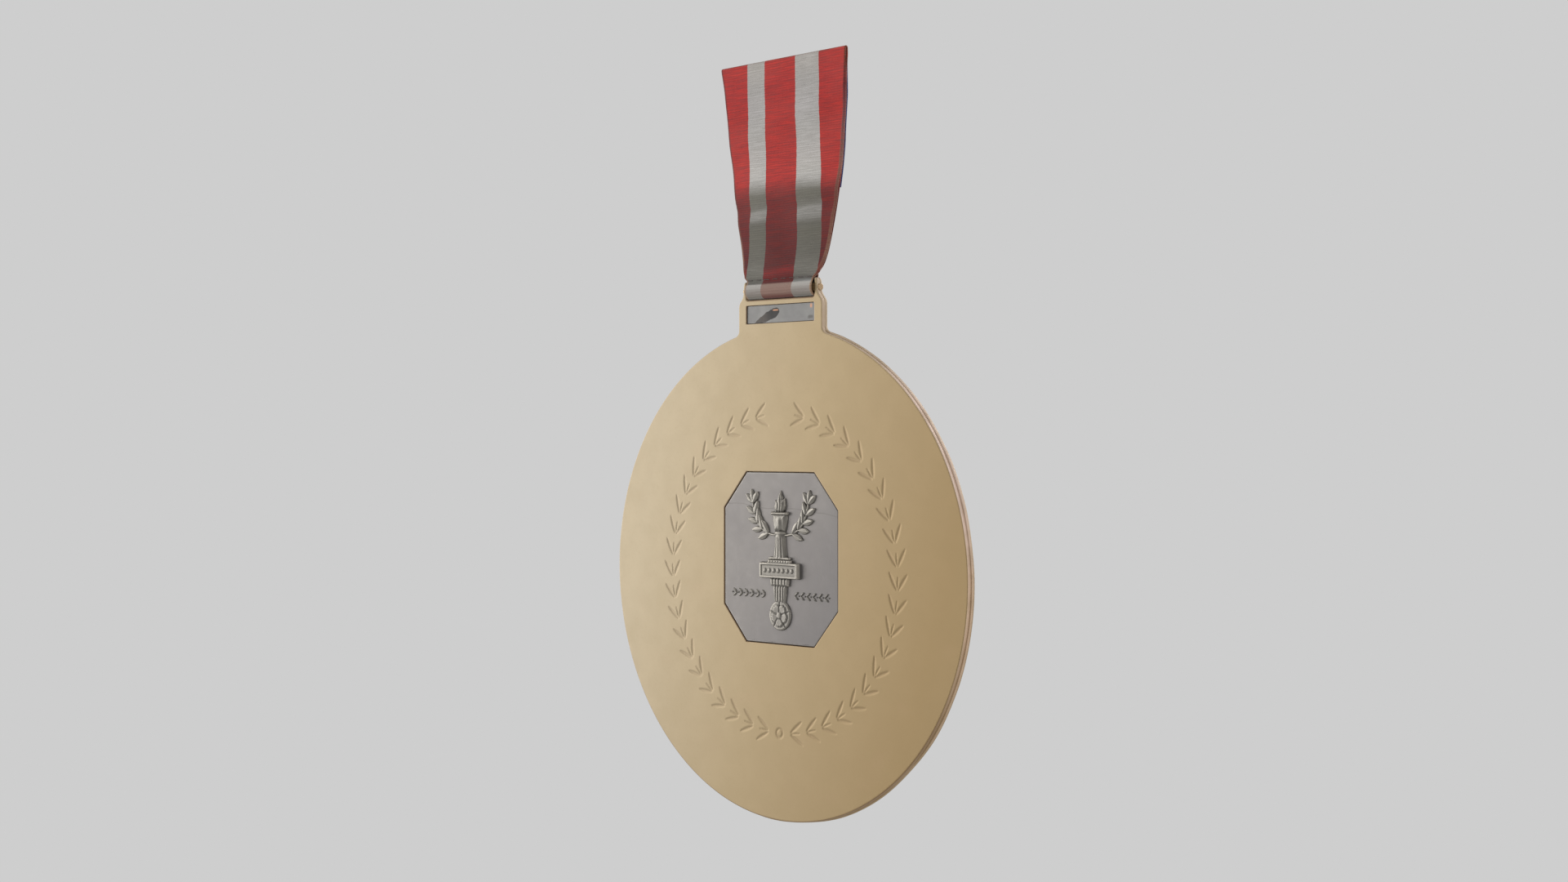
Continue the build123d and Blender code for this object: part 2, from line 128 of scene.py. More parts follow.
def shell(P, half):
    """Vertices and faces of a closed sheet: P is a grid of points (rows, cols, 3), offset both ways by half."""
    R, C, _ = P.shape
    du = np.zeros_like(P)
    dv = np.zeros_like(P)
    du[:, 1:-1] = P[:, 2:] - P[:, :-2]
    du[:, 0] = P[:, 1] - P[:, 0]
    du[:, -1] = P[:, -1] - P[:, -2]
    dv[1:-1] = P[2:] - P[:-2]
    dv[0] = P[1] - P[0]
    dv[-1] = P[-1] - P[-2]
    n = np.cross(du, dv)
    n /= np.maximum(np.linalg.norm(n, axis=2, keepdims=True), 1e-9)
    A = P + n * half
    B = P - n * half
    verts = np.concatenate([A.reshape(-1, 3), B.reshape(-1, 3)])
    N = R * C
    idx = np.arange(N).reshape(R, C)
    q = np.stack([idx[:-1, :-1], idx[:-1, 1:], idx[1:, 1:], idx[1:, :-1]], axis=-1).reshape(-1, 4)
    faces = q.tolist() + (q[:, ::-1] + N).tolist()
    rim = ([(idx[0, j], idx[0, j + 1]) for j in range(C - 1)]
           + [(idx[i, -1], idx[i + 1, -1]) for i in range(R - 1)]
           + [(idx[-1, j + 1], idx[-1, j]) for j in range(C - 2, -1, -1)]
           + [(idx[i + 1, 0], idx[i, 0]) for i in range(R - 2, -1, -1)])
    for a, b in rim:
        faces.append((a, a + N, b + N, b))
    return verts, faces


def tube(path, radius, sides=8, closed_ends=True, twist=0.0, plies=1, ply_r=None):
    """A tube, or plies twisted round each other, along a polyline in millimetres."""
    path = np.asarray(path, float)
    n = len(path)
    t = np.gradient(path, axis=0)
    t /= np.maximum(np.linalg.norm(t, axis=1, keepdims=True), 1e-9)
    ref = np.array([0.0, 0.0, 1.0]) if abs(t[0][2]) < 0.9 else np.array([1.0, 0.0, 0.0])
    a = np.cross(t[0], ref)
    a /= np.linalg.norm(a)
    frames = []
    for i in range(n):
        a = a - t[i] * np.dot(a, t[i])
        a /= max(np.linalg.norm(a), 1e-9)
        frames.append((a.copy(), np.cross(t[i], a)))
    d = np.concatenate([[0], np.cumsum(np.linalg.norm(np.diff(path, axis=0), axis=1))])
    verts, faces = [], []
    for p in range(plies):
        base = len(verts)
        for i in range(n):
            u, v = frames[i]
            if plies > 1:
                ph = d[i] * twist + 2 * math.pi * p / plies
                c = path[i] + (u * math.cos(ph) + v * math.sin(ph)) * (radius - ply_r)
                r = ply_r
            else:
                c, r = path[i], radius
            for k in range(sides):
                th = 2 * math.pi * k / sides
                verts.append(c + (u * math.cos(th) + v * math.sin(th)) * r)
        for i in range(n - 1):
            for k in range(sides):
                k2 = (k + 1) % sides
                faces.append((base + i * sides + k, base + i * sides + k2,
                              base + (i + 1) * sides + k2, base + (i + 1) * sides + k))
        if closed_ends:
            faces.append(tuple(base + k for k in range(sides))[::-1])
            faces.append(tuple(base + (n - 1) * sides + k for k in range(sides)))
    return verts, faces


def join(parts):
    verts, faces = [], []
    for v, f in parts:
        o = len(verts)
        verts += [tuple(p) for p in v]
        faces += [tuple(i + o for i in q) for q in f]
    return verts, faces


def round_path(points, r, step=0.08):
    """A polyline with rounded corners, sampled evenly."""
    pts = [np.array(p, float) for p in points]
    out = [pts[0]]
    for i in range(1, len(pts) - 1):
        a, b, c = pts[i - 1], pts[i], pts[i + 1]
        la, lc = np.linalg.norm(a - b), np.linalg.norm(c - b)
        k = min(r, la * 0.45, lc * 0.45)
        p0, p1 = b + (a - b) / la * k, b + (c - b) / lc * k
        for s in np.linspace(0, 1, 6):
            out.append((1 - s) ** 2 * p0 + 2 * s * (1 - s) * b + s * s * p1)
    out.append(pts[-1])
    out = np.array(out)
    d = np.concatenate([[0], np.cumsum(np.linalg.norm(np.diff(out, axis=0), axis=1))])
    m = max(int(d[-1] / step), 4)
    dd = np.linspace(0, d[-1], m)
    return np.stack([np.interp(dd, d, out[:, k]) for k in range(3)], axis=1)


# ------------------------------------------------------------------ material helpers
class Mat:
    def __init__(self, name):
        self.m = bpy.data.materials.new(name)
        self.m.use_nodes = True
        self.t = self.m.node_tree
        self.t.nodes.clear()
        self.out = self.t.nodes.new("ShaderNodeOutputMaterial")
        self.b = self.t.nodes.new("ShaderNodeBsdfPrincipled")
        self.t.links.new(self.b.outputs[0], self.out.inputs[0])
        self.co = self.t.nodes.new("ShaderNodeTexCoord").outputs["Object"]
        sep = self.t.nodes.new("ShaderNodeSeparateXYZ")
        self.link(self.co, sep.inputs[0])
        self.x, self.y, self.z = sep.outputs

    def link(self, a, b):
        self.t.links.new(a, b)

    def put(self, sock, v):
        if isinstance(v, bpy.types.NodeSocket):
            self.link(v, sock)
        elif v is not None:
            sock.default_value = v

    def math(self, op, a, b=None, c=None, clamp=False):
        n = self.t.nodes.new("ShaderNodeMath")
        n.operation = op
        n.use_clamp = clamp
        for i, v in enumerate((a, b, c)):
            if v is not None:
                self.put(n.inputs[i], v)
        return n.outputs[0]

    def scale(self, vec=None, s=(1, 1, 1), loc=(0, 0, 0), rot=(0, 0, 0)):
        n = self.t.nodes.new("ShaderNodeMapping")
        self.link(vec or self.co, n.inputs[0])
        n.inputs["Scale"].default_value = s
        n.inputs["Location"].default_value = loc
        n.inputs["Rotation"].default_value = rot
        return n.outputs[0]

    def noise(self, scale, detail=3.0, rough=0.5, vec=None, dist=0.0):
        n = self.t.nodes.new("ShaderNodeTexNoise")
        self.link(vec or self.co, n.inputs["Vector"])
        n.inputs["Scale"].default_value = scale
        n.inputs["Detail"].default_value = detail
        n.inputs["Roughness"].default_value = rough
        n.inputs["Distortion"].default_value = dist
        return n.outputs[0]

    def voronoi(self, scale, vec=None, feature="F1"):
        n = self.t.nodes.new("ShaderNodeTexVoronoi")
        n.feature = feature
        self.link(vec or self.co, n.inputs["Vector"])
        n.inputs["Scale"].default_value = scale
        return n.outputs[0]

    def combine(self, x, y, z):
        n = self.t.nodes.new("ShaderNodeCombineXYZ")
        for i, v in enumerate((x, y, z)):
            self.put(n.inputs[i], v)
        return n.outputs[0]

    def range(self, v, a, b, c=0.0, d=1.0, smooth=True):
        n = self.t.nodes.new("ShaderNodeMapRange")
        n.interpolation_type = "SMOOTHSTEP" if smooth else "LINEAR"
        n.clamp = True
        self.put(n.inputs["Value"], v)
        n.inputs["From Min"].default_value = a
        n.inputs["From Max"].default_value = b
        n.inputs["To Min"].default_value = c
        n.inputs["To Max"].default_value = d
        return n.outputs[0]

    def ramp(self, v, stops, mode="LINEAR"):
        n = self.t.nodes.new("ShaderNodeValToRGB")
        n.color_ramp.interpolation = mode
        e = n.color_ramp.elements
        while len(e) > 1:
            e.remove(e[-1])
        e[0].position, e[0].color = stops[0][0], stops[0][1]
        for p, c in stops[1:]:
            k = e.new(p)
            k.color = c
        self.put(n.inputs[0], v)
        return n.outputs[0]

    def mix(self, f, a, b, mode="MIX"):
        n = self.t.nodes.new("ShaderNodeMix")
        n.data_type = "RGBA"
        n.blend_type = mode
        n.clamp_factor = True
        self.put(n.inputs[0], f)
        self.put(n.inputs[6], a)
        self.put(n.inputs[7], b)
        return n.outputs[2]

    def attr(self, name):
        n = self.t.nodes.new("ShaderNodeAttribute")
        n.attribute_name = name
        return n.outputs["Fac"]

    def bump(self, h, strength=0.3, dist=0.0001, normal=None):
        n = self.t.nodes.new("ShaderNodeBump")
        n.inputs["Strength"].default_value = strength
        n.inputs["Distance"].default_value = dist
        self.put(n.inputs["Height"], h)
        if normal is not None:
            self.link(normal, n.inputs["Normal"])
        return n.outputs[0]

    def set(self, **kw):
        names = {"color": "Base Color", "metallic": "Metallic", "rough": "Roughness", "normal": "Normal",
                 "spec": "Specular IOR Level", "sheen": "Sheen Weight", "coat": "Coat Weight",
                 "coat_rough": "Coat Roughness", "sheen_rough": "Sheen Roughness", "sheen_tint": "Sheen Tint",
                 "aniso": "Anisotropic"}
        for k, v in kw.items():
            self.put(self.b.inputs[names[k]], v)
        return self.m


def grey(v):
    return (v, v, v, 1.0)


GOLD_LIT_TO_SHADED = [(0.392, 0.319, 0.210, 1.0), (0.354, 0.266, 0.146, 1.0), (0.307, 0.211, 0.094, 1.0)]


# ------------------------------------------------------------------ materials
def gilt(name):
    """Satin gilt with painted light, paler towards the upper left and deeper towards the lower right; brown patina in
    the struck lines and painted shade in the seams and gaps; a cream edge, partly wear and partly painted highlight.
    """
    M = Mat(name)
    big = M.noise(60.0, 3.0, 0.5)
    mid = M.noise(260.0, 4.0, 0.6)
    fine = M.noise(2600.0, 3.0, 0.6)
    # painted light: the gilt is paler towards the upper left and deeper towards the lower right, as the key light falls
    t = M.math("ADD", M.math("MULTIPLY", M.x, 1000 / 62.0), M.math("MULTIPLY", M.math("ADD", M.z, 0.073), -1000 / 210.0))
    t = M.math("ADD", M.math("ADD", t, 0.5), M.math("MULTIPLY", M.math("SUBTRACT", big, 0.5), 0.05), clamp=True)
    base = M.ramp(t, [(0.0, GOLD_LIT_TO_SHADED[0]), (0.5, GOLD_LIT_TO_SHADED[1]), (1.0, GOLD_LIT_TO_SHADED[2])])
    # small patches that lean to yellow and to pink
    base = M.mix(M.range(mid, 0.52, 0.74, 0.0, 0.06), base, lin(172, 153, 110))
    base = M.mix(M.range(M.noise(190.0, 3.0, 0.55, M.scale(loc=(0.3, 0.1, 0.2))), 0.55, 0.74, 0.0, 0.05), base, lin(176, 142, 117))
    base = M.mix(M.range(fine, 0.5, 0.8, 0.0, 0.10), base, lin(134, 112, 76))
    # dark patina in the struck recesses; painted shade along the seam, the window and slot edges and the lower rim
    pat = M.math("MULTIPLY", M.attr("patina"), M.range(mid, 0.2, 0.7, 0.7, 1.0), clamp=True)
    base = M.mix(pat, base, lin(104, 70, 50))
    # cream edge: wear with a painted highlight, paler and pinker higher up on the rim
    worn_and_lit = M.math("MULTIPLY", M.attr("edge"), M.range(M.noise(420.0, 3.0), 0.25, 0.6, 0.7, 1.0), clamp=True)
    base = M.mix(worn_and_lit, base, M.mix(M.range(M.z, -0.077, -0.060), lin(214, 186, 160), lin(230, 207, 192)))
    specks = M.math("MULTIPLY", M.range(M.voronoi(1100.0), 0.0, 0.08, 1.0, 0.0),
                    M.range(M.noise(160.0), 0.55, 0.7, 0.0, 0.30), clamp=True)
    base = M.mix(specks, base, lin(120, 90, 55))
    h = M.math("ADD", M.math("MULTIPLY", mid, 0.03), M.math("MULTIPLY", fine, 0.05))
    scr = M.noise(1.0, 2.0, 0.5, M.scale(s=(260, 260, 5200), rot=(0, 0.5, 0)))
    h = M.math("ADD", h, M.math("MULTIPLY", scr, 0.02))
    return M.set(color=base, metallic=0.42, rough=M.range(mid, 0.3, 0.7, 0.53, 0.56), spec=0.45,
                 normal=M.bump(h, 0.11, 0.00010))


def silver(name, tone=(150, 146, 141), dark=0.0, relief=False):
    M = Mat(name)
    big = M.noise(150.0, 3.0, 0.55)
    mid = M.noise(900.0, 4.0, 0.6)
    fine = M.noise(4200.0, 2.0, 0.6)
    t = tone
    base = M.ramp(M.range(big, 0.3, 0.7), [(0.0, lin(t[0] - 3, t[1] - 3, t[2] - 3)), (1.0, lin(t[0] + 3, t[1] + 3, t[2] + 2))])
    # painted shade: the silver darkens towards the right and the bottom, as the light falls
    shade_fall = M.math("SUBTRACT", M.x, M.math("MULTIPLY", M.math("SUBTRACT", M.z, PLAQUE_Z * MM), 0.7))
    base = M.mix(M.range(shade_fall, -0.004, 0.016, 0.0, 0.70), base, lin(t[0] * 0.86, t[1] * 0.86, t[2] * 0.87))
    base = M.mix(M.range(mid, 0.4, 0.8, 0.0, 0.12), base, lin(t[0] + 26, t[1] + 26, t[2] + 24))
    # dark patina in the relief's hollows; painted shade at the relief's foot and on the plaque's edge walls
    pat = M.attr("patina")
    base = M.mix(M.math("MULTIPLY", pat, 0.85, clamp=True), base, lin(50, 46, 41))
    base = M.mix(M.math("MULTIPLY", M.attr("edge"), 0.5 if relief else 0.7, clamp=True), base, lin(t[0] + 62, t[1] + 60, t[2] + 55))
    if not relief:
        # one long faint scratch across the plate
        wob = M.math("MULTIPLY", M.math("SUBTRACT", M.noise(160.0, 2.0), 0.5), 0.0012)
        line = M.math("ADD", M.math("SUBTRACT", M.z, (PLAQUE_Z + 7.0) * MM), M.math("MULTIPLY", M.x, 0.06))
        line = M.math("ABSOLUTE", M.math("ADD", line, wob))
        line = M.range(line, 0.00003, 0.00010, 0.55, 0.0)
        line = M.math("MULTIPLY", line, M.range(M.noise(300.0), 0.42, 0.55), clamp=True)
        base = M.mix(line, base, lin(96, 92, 88))
    h = M.math("ADD", M.math("MULTIPLY", big, 0.3), M.math("ADD", M.math("MULTIPLY", mid, 0.16), M.math("MULTIPLY", fine, 0.06)))
    return M.set(color=base, metallic=0.65, rough=M.range(mid, 0.3, 0.7, 0.37 if relief else 0.49, 0.43 if relief else 0.54),
                 normal=M.bump(h, 0.30, 0.0001))


def inlay_mat():
    """Silver of the lug's inlay, with a dark leaf-shaped tarnish mark that has a painted peach highlight along its
    upper edge.
    """
    M = Mat("inlay_silver_mat")
    big = M.noise(220.0, 3.0, 0.55)
    mid = M.noise(1100.0, 4.0, 0.6)
    base = M.ramp(M.range(big, 0.3, 0.7), [(0.0, lin(103, 102, 101)), (1.0, lin(110, 109, 107))])
    zc = (DISC_Z + 36.45) * MM
    dx = M.math("SUBTRACT", M.x, -0.0028)
    dz = M.math("SUBTRACT", M.z, zc)
    ca, sa = math.cos(math.radians(20.5)), math.sin(math.radians(20.5))
    u = M.math("ADD", M.math("MULTIPLY", dx, ca), M.math("MULTIPLY", dz, sa))
    v = M.math("SUBTRACT", M.math("MULTIPLY", dz, ca), M.math("MULTIPLY", dx, sa))
    wob = M.math("MULTIPLY", M.math("SUBTRACT", M.noise(1500.0, 3.0), 0.5), 0.0004)
    u2 = M.math("DIVIDE", u, 0.0027)
    v2 = M.math("DIVIDE", M.math("ADD", v, wob), M.math("ADD", 0.00058, M.math("MULTIPLY", u, 0.10)))
    u4 = M.math("MULTIPLY", M.math("MULTIPLY", u2, u2), M.math("MULTIPLY", u2, u2))
    d = M.math("ADD", u4, M.math("MULTIPLY", v2, v2))
    blot = M.range(d, 0.9, 1.12, 1.0, 0.0)
    base = M.mix(M.math("MULTIPLY", blot, 0.95), base, M.mix(M.range(u, -0.0010, 0.0012), lin(56, 50, 45), lin(22, 20, 19)))
    spot = M.math("MULTIPLY", M.range(M.math("ABSOLUTE", M.math("SUBTRACT", M.x, 0.0060)), 0.0003, 0.0007, 1.0, 0.0),
                  M.range(M.math("ABSOLUTE", M.math("ADD", M.math("SUBTRACT", M.z, (DISC_Z + 36.2) * MM), wob)), 0.0001, 0.0003, 1.0, 0.0))
    base = M.mix(M.math("MULTIPLY", spot, 0.6), base, lin(62, 56, 52))
    # painted highlight: a pale peach line at the mark's upper edge and a peach spot in one corner
    e1 = M.math("MULTIPLY", M.range(M.math("ABSOLUTE", M.math("SUBTRACT", M.x, -0.0010)), 0.00030, 0.00072, 1.0, 0.0),
                M.range(M.math("ABSOLUTE", M.math("SUBTRACT", M.z, zc + 0.00096)), 0.00003, 0.00015, 1.0, 0.0))
    e2 = M.math("MULTIPLY", M.range(M.math("ABSOLUTE", M.math("SUBTRACT", M.x, 0.0061)), 0.0001, 0.0003, 1.0, 0.0),
                M.range(M.math("ABSOLUTE", M.math("SUBTRACT", M.z, zc + 0.0013)), 0.0001, 0.0004, 1.0, 0.0))
    base = M.mix(M.math("MULTIPLY", M.math("ADD", e1, e2, clamp=True), 0.8), base, lin(176, 128, 98))
    h = M.math("ADD", M.math("MULTIPLY", big, 0.3), M.math("MULTIPLY", mid, 0.16))
    return M.set(color=base, metallic=0.6, rough=M.range(mid, 0.3, 0.7, 0.45, 0.51), normal=M.bump(h, 0.28, 0.0001))


def metal(name, rgb, rough=(0.28, 0.45), metallic=0.9, grain=(1, 1, 1), brown_beyond=None):
    M = Mat(name)
    big = M.noise(300.0, 3.0)
    mid = M.noise(1.0, 4.0, 0.6, M.scale(s=tuple(1800 * g for g in grain)))
    r, g, b = rgb
    base = M.ramp(M.range(big, 0.3, 0.7), [(0.0, lin(r * 0.86, g * 0.84, b * 0.80)), (1.0, lin(min(r * 1.05, 255), min(g * 1.05, 255), min(b * 1.06, 255)))])
    base = M.mix(M.range(mid, 0.55, 0.8, 0.0, 0.4), base, lin(r * 0.6, g * 0.55, b * 0.5))
    if brown_beyond:
        out = M.range(M.math("ABSOLUTE", M.x), brown_beyond * MM, (brown_beyond + 0.3) * MM, 0.0, 0.75)
        base = M.mix(out, base, lin(186, 158, 128))
    return M.set(color=base, metallic=metallic, rough=M.range(mid, 0.3, 0.7, rough[0], rough[1]),
                 normal=M.bump(mid, 0.25, 0.00006))


# painted shade and painted highlight bands on the red and on the grey threads by height, in linear values: 0 is 35 mm
# below the top edge, 1 is the top edge
RED_PAINTED_LIGHT = [(0.00, (0.33, 0.38, 0.40, 1)), (0.078, (0.33, 0.38, 0.40, 1)), (0.094, (0.20, 0.25, 0.26, 1)), (0.118, (0.34, 0.38, 0.40, 1)),
            (0.136, (0.48, 0.51, 0.53, 1)), (0.165, (0.25, 0.42, 0.44, 1)), (0.30, (0.33, 0.46, 0.48, 1)), (0.38, (0.40, 0.52, 0.53, 1)),
            (0.43, (0.41, 0.53, 0.55, 1)), (0.47, (0.62, 0.68, 0.69, 1)), (0.50, (0.92, 0.82, 0.81, 1)), (0.525, (1.05, 0.86, 0.84, 1)),
            (0.60, (1.0, 0.80, 0.77, 1)), (0.72, (0.97, 0.76, 0.73, 1)), (0.80, (0.95, 0.68, 0.66, 1)), (0.85, (0.94, 0.68, 0.69, 1)),
            (0.92, (0.97, 0.76, 0.77, 1)), (0.97, (1.0, 0.79, 0.76, 1))]
GREY_PAINTED_LIGHT = [(0.00, (0.50, 0.50, 0.47, 1)), (0.060, (0.54, 0.55, 0.55, 1)), (0.080, (0.64, 0.66, 0.68, 1)), (0.096, (0.23, 0.22, 0.21, 1)), (0.118, (0.34, 0.33, 0.30, 1)),
             (0.145, (0.37, 0.36, 0.33, 1)), (0.20, (0.30, 0.29, 0.26, 1)), (0.30, (0.30, 0.29, 0.25, 1)), (0.332, (0.30, 0.29, 0.26, 1)),
             (0.352, (0.54, 0.53, 0.52, 1)), (0.382, (0.62, 0.61, 0.60, 1)), (0.400, (0.40, 0.39, 0.36, 1)), (0.430, (0.35, 0.34, 0.30, 1)), (0.455, (0.38, 0.37, 0.33, 1)),
             (0.50, (0.92, 0.91, 0.91, 1)), (0.522, (1.03, 1.02, 1.02, 1)), (0.56, (1.05, 1.03, 1.03, 1)), (0.60, (1.02, 0.99, 1.0, 1)),
             (0.72, (0.89, 0.88, 0.89, 1)), (0.80, (0.92, 0.90, 0.93, 1)), (0.90, (0.85, 0.83, 0.84, 1)), (0.97, (0.91, 0.88, 0.87, 1))]


def ribbon_mat():
    """Ribbed weave: red with two grey stripes by the cloth's own width, ribs and slubs by its length."""
    M = Mat("ribbon_cloth_mat")
    s = M.attr("s_mm")
    t = M.attr("t_mm")
    jitter = M.math("MULTIPLY", M.math("SUBTRACT", M.noise(1.0, 2.0, 0.5, M.combine(0.0, M.math("MULTIPLY", t, 1.6), 0.0)), 0.5), 0.20)
    sj = M.math("ADD", s, jitter)

    def band(a, b, w=0.05):
        return M.math("MULTIPLY", M.range(sj, a - w, a + w), M.range(sj, b - w, b + w, 1.0, 0.0))
    greys = M.math("ADD", band(-6.9, -3.35), band(2.8, 7.45), clamp=True)
    # weft ribs one every 0.32 mm, nearly straight across, broken up along their length
    wob = M.noise(1.0, 2.0, 0.5, M.combine(M.math("MULTIPLY", s, 0.22), M.math("MULTIPLY", t, 0.25), 0.0))
    rib = M.math("SINE", M.math("MULTIPLY", M.math("ADD", t, M.math("MULTIPLY", wob, 0.22)), 2 * math.pi / 0.32))
    warp = M.math("SINE", M.math("MULTIPLY", s, 2 * math.pi / 0.21))
    slub = M.noise(1.0, 4.0, 0.62, M.combine(M.math("MULTIPLY", s, 0.30), M.math("MULTIPLY", t, 4.5), 3.0))
    slub2 = M.noise(1.0, 3.0, 0.6, M.combine(M.math("MULTIPLY", s, 0.75), M.math("MULTIPLY", t, 8.0), 8.0))
    broad = M.noise(1.0, 2.0, 0.5, M.combine(M.math("MULTIPLY", s, 0.12), M.math("MULTIPLY", t, 0.30), 1.0))
    red = M.mix(M.range(slub, 0.35, 0.72), lin(150, 46, 46), lin(194, 62, 57))
    gr = M.mix(M.range(slub, 0.35, 0.72), lin(168, 166, 161), lin(191, 189, 185))
    col = M.mix(greys, red, gr)
    streak = M.math("MULTIPLY", M.range(slub2, 0.58, 0.72), M.range(rib, -0.4, 0.8, 1.0, 0.25), clamp=True)
    col = M.mix(M.math("MULTIPLY", streak, 0.62), col, M.mix(greys, lin(96, 38, 36), lin(128, 125, 118)))
    col = M.mix(M.range(rib, 0.2, 1.0, 0.0, 0.18), col, M.mix(greys, lin(210, 80, 72), lin(204, 202, 198)))
    col = M.mix(M.range(broad, 0.35, 0.7, 0.0, 0.16), col, M.mix(greys, lin(190, 92, 84), lin(194, 192, 186)))
    # painted shade darkens the lower half, with painted highlight bands and a dark painted crease above the wrap; the
    # wrap round the rod is paler, partly rubbed and partly painted highlight
    zrel = M.math("MULTIPLY", M.z, 1000.0)       # millimetres below the top edge
    zn = M.math("ADD", zrel, M.math("MULTIPLY", M.math("SUBTRACT", broad, 0.5), 1.4))
    pos = M.range(zn, -35.0, 0.0, 0.0, 1.0, smooth=False)
    out = M.mix(1.0, col, M.mix(greys, M.ramp(pos, RED_PAINTED_LIGHT), M.ramp(pos, GREY_PAINTED_LIGHT)), "MULTIPLY")
    wrap_zone = M.math("MULTIPLY", M.range(zrel, -32.0, -31.68, 1.0, 0.0), M.range(zrel, -33.9, -33.2, 0.35, 1.0))
    wrap_rubbed_and_lit = M.mix(greys, lin(145, 117, 106), lin(145, 137, 131))
    wrap_rubbed_and_lit = M.mix(M.range(slub, 0.4, 0.7, 0.0, 0.35), wrap_rubbed_and_lit, lin(122, 112, 104))
    # painted highlight on the wrap's upper part, then painted shade along its lower edge
    wrap_rubbed_and_lit = M.mix(M.range(zrel, -33.0, -32.0, 0.0, 0.85), wrap_rubbed_and_lit, M.mix(greys, lin(149, 126, 115), lin(179, 175, 170)))
    wrap_rubbed_and_lit = M.mix(M.range(zrel, -33.7, -33.1, 0.55, 0.0), wrap_rubbed_and_lit, M.mix(greys, lin(96, 68, 56), lin(104, 88, 72)))
    out = M.mix(M.math("MULTIPLY", wrap_zone, 0.88), out, wrap_rubbed_and_lit)
    # the folded edge: dark towards the top, a dull buff further down, darker on the left side
    e = M.math("MULTIPLY", M.attr("fold"), M.range(slub2, 0.3, 0.6, 0.6, 1.0), clamp=True)
    tint = M.ramp(M.range(zrel, -35.0, 0.0, 0.0, 1.0, smooth=False),
                  [(0.0, lin(158, 130, 102)), (0.09, lin(158, 130, 102)), (0.125, lin(120, 70, 58)), (0.2, lin(150, 116, 98)), (0.42, lin(124, 84, 72)), (0.55, lin(128, 112, 100)),
                   (0.75, lin(96, 82, 84)), (0.86, lin(70, 46, 48)), (1.0, lin(96, 64, 44))])
    tint = M.mix(M.range(s, -10.0, -8.0, 0.8, 0.0), tint, lin(84, 52, 48))
    out = M.mix(M.math("MULTIPLY", e, 0.8), out, tint)
    h = M.math("ADD", M.math("MULTIPLY", rib, 0.5), M.math("ADD", M.math("MULTIPLY", warp, 0.10), M.math("MULTIPLY", slub, 0.7)))
    return M.set(color=out, metallic=0.0, rough=M.range(slub, 0.3, 0.7, 0.72, 0.9), spec=0.2, sheen=0.2, sheen_rough=0.4,
                 normal=M.bump(h, 0.5, 0.00006))


def cloth_mat(name, rgb, pitch=0.3):
    M = Mat(name)
    slub = M.noise(1.0, 4.0, 0.6, M.scale(s=(500, 500, 4200)))
    rib = M.math("SINE", M.math("MULTIPLY", M.z, 2 * math.pi / (pitch * MM)))
    r, g, b = rgb
    col = M.mix(M.range(slub, 0.3, 0.7), lin(r * 0.7, g * 0.7, b * 0.75), lin(min(r * 1.25, 255), min(g * 1.25, 255), min(b * 1.2, 255)))
    col = M.mix(M.range(rib, 0.2, 1.0, 0.0, 0.25), col, lin(min(r * 1.6, 255), min(g * 1.6, 255), min(b * 1.5, 255)))
    h = M.math("ADD", M.math("MULTIPLY", rib, 0.5), M.math("MULTIPLY", slub, 0.7))
    return M.set(color=col, rough=0.85, spec=0.2, sheen=0.3, normal=M.bump(h, 0.5, 0.00005))


def thread_mat(name, rgb):
    M = Mat(name)
    n = M.noise(5200.0, 3.0)
    r, g, b = rgb
    col = M.mix(M.range(n, 0.3, 0.7), lin(r * 0.7, g * 0.7, b * 0.7), lin(min(r * 1.3, 255), min(g * 1.3, 255), min(b * 1.3, 255)))
    return M.set(color=col, rough=0.7, spec=0.3, sheen=0.3, normal=M.bump(n, 0.4, 0.00003))


GILT = gilt("gilt_front_mat")
GILT_BACK = gilt("gilt_back_mat")
SILVER = silver("plaque_silver_mat", tone=(118, 114, 112))
SILVER_RELIEF = silver("emblem_silver_mat", tone=(114, 110, 104), relief=True)
INLAY = inlay_mat()
STUD = metal("stud_brass_mat", (186, 156, 104), (0.35, 0.5), 0.8)
ROD = metal("rod_brass_mat", (178, 150, 108), (0.35, 0.5), 0.7, (1, 8, 8), brown_beyond=7.4)
BROOCH = metal("brooch_brass_mat", (184, 158, 112), (0.3, 0.48), 0.85, (3, 1, 1))
STEEL = metal("pin_steel_mat", (186, 186, 184), (0.2, 0.35), 0.95, (0.3, 6, 6))
CLOTH = ribbon_mat()
LINING = cloth_mat("backing_cloth_mat", (46, 50, 100))
THREAD_G = thread_mat("thread_grey_mat", (66, 52, 47))
THREAD_N = thread_mat("thread_navy_mat", (36, 38, 70))


def paint(node, m):
    ob = nodes[node]
    ob.data.materials.clear()
    ob.data.materials.append(m)


for n, m in {"plate_studs": STUD, "plaque_studs": STUD, "inlay_studs": STUD, "emblem_posts": STUD,
             "suspension_rod": ROD, "lug_inlay": INLAY, "brooch_base": BROOCH, "brooch_hinge_rivet": STUD,
             "brooch_pin": STEEL, "brooch_lock": BROOCH}.items():
    paint(n, m)


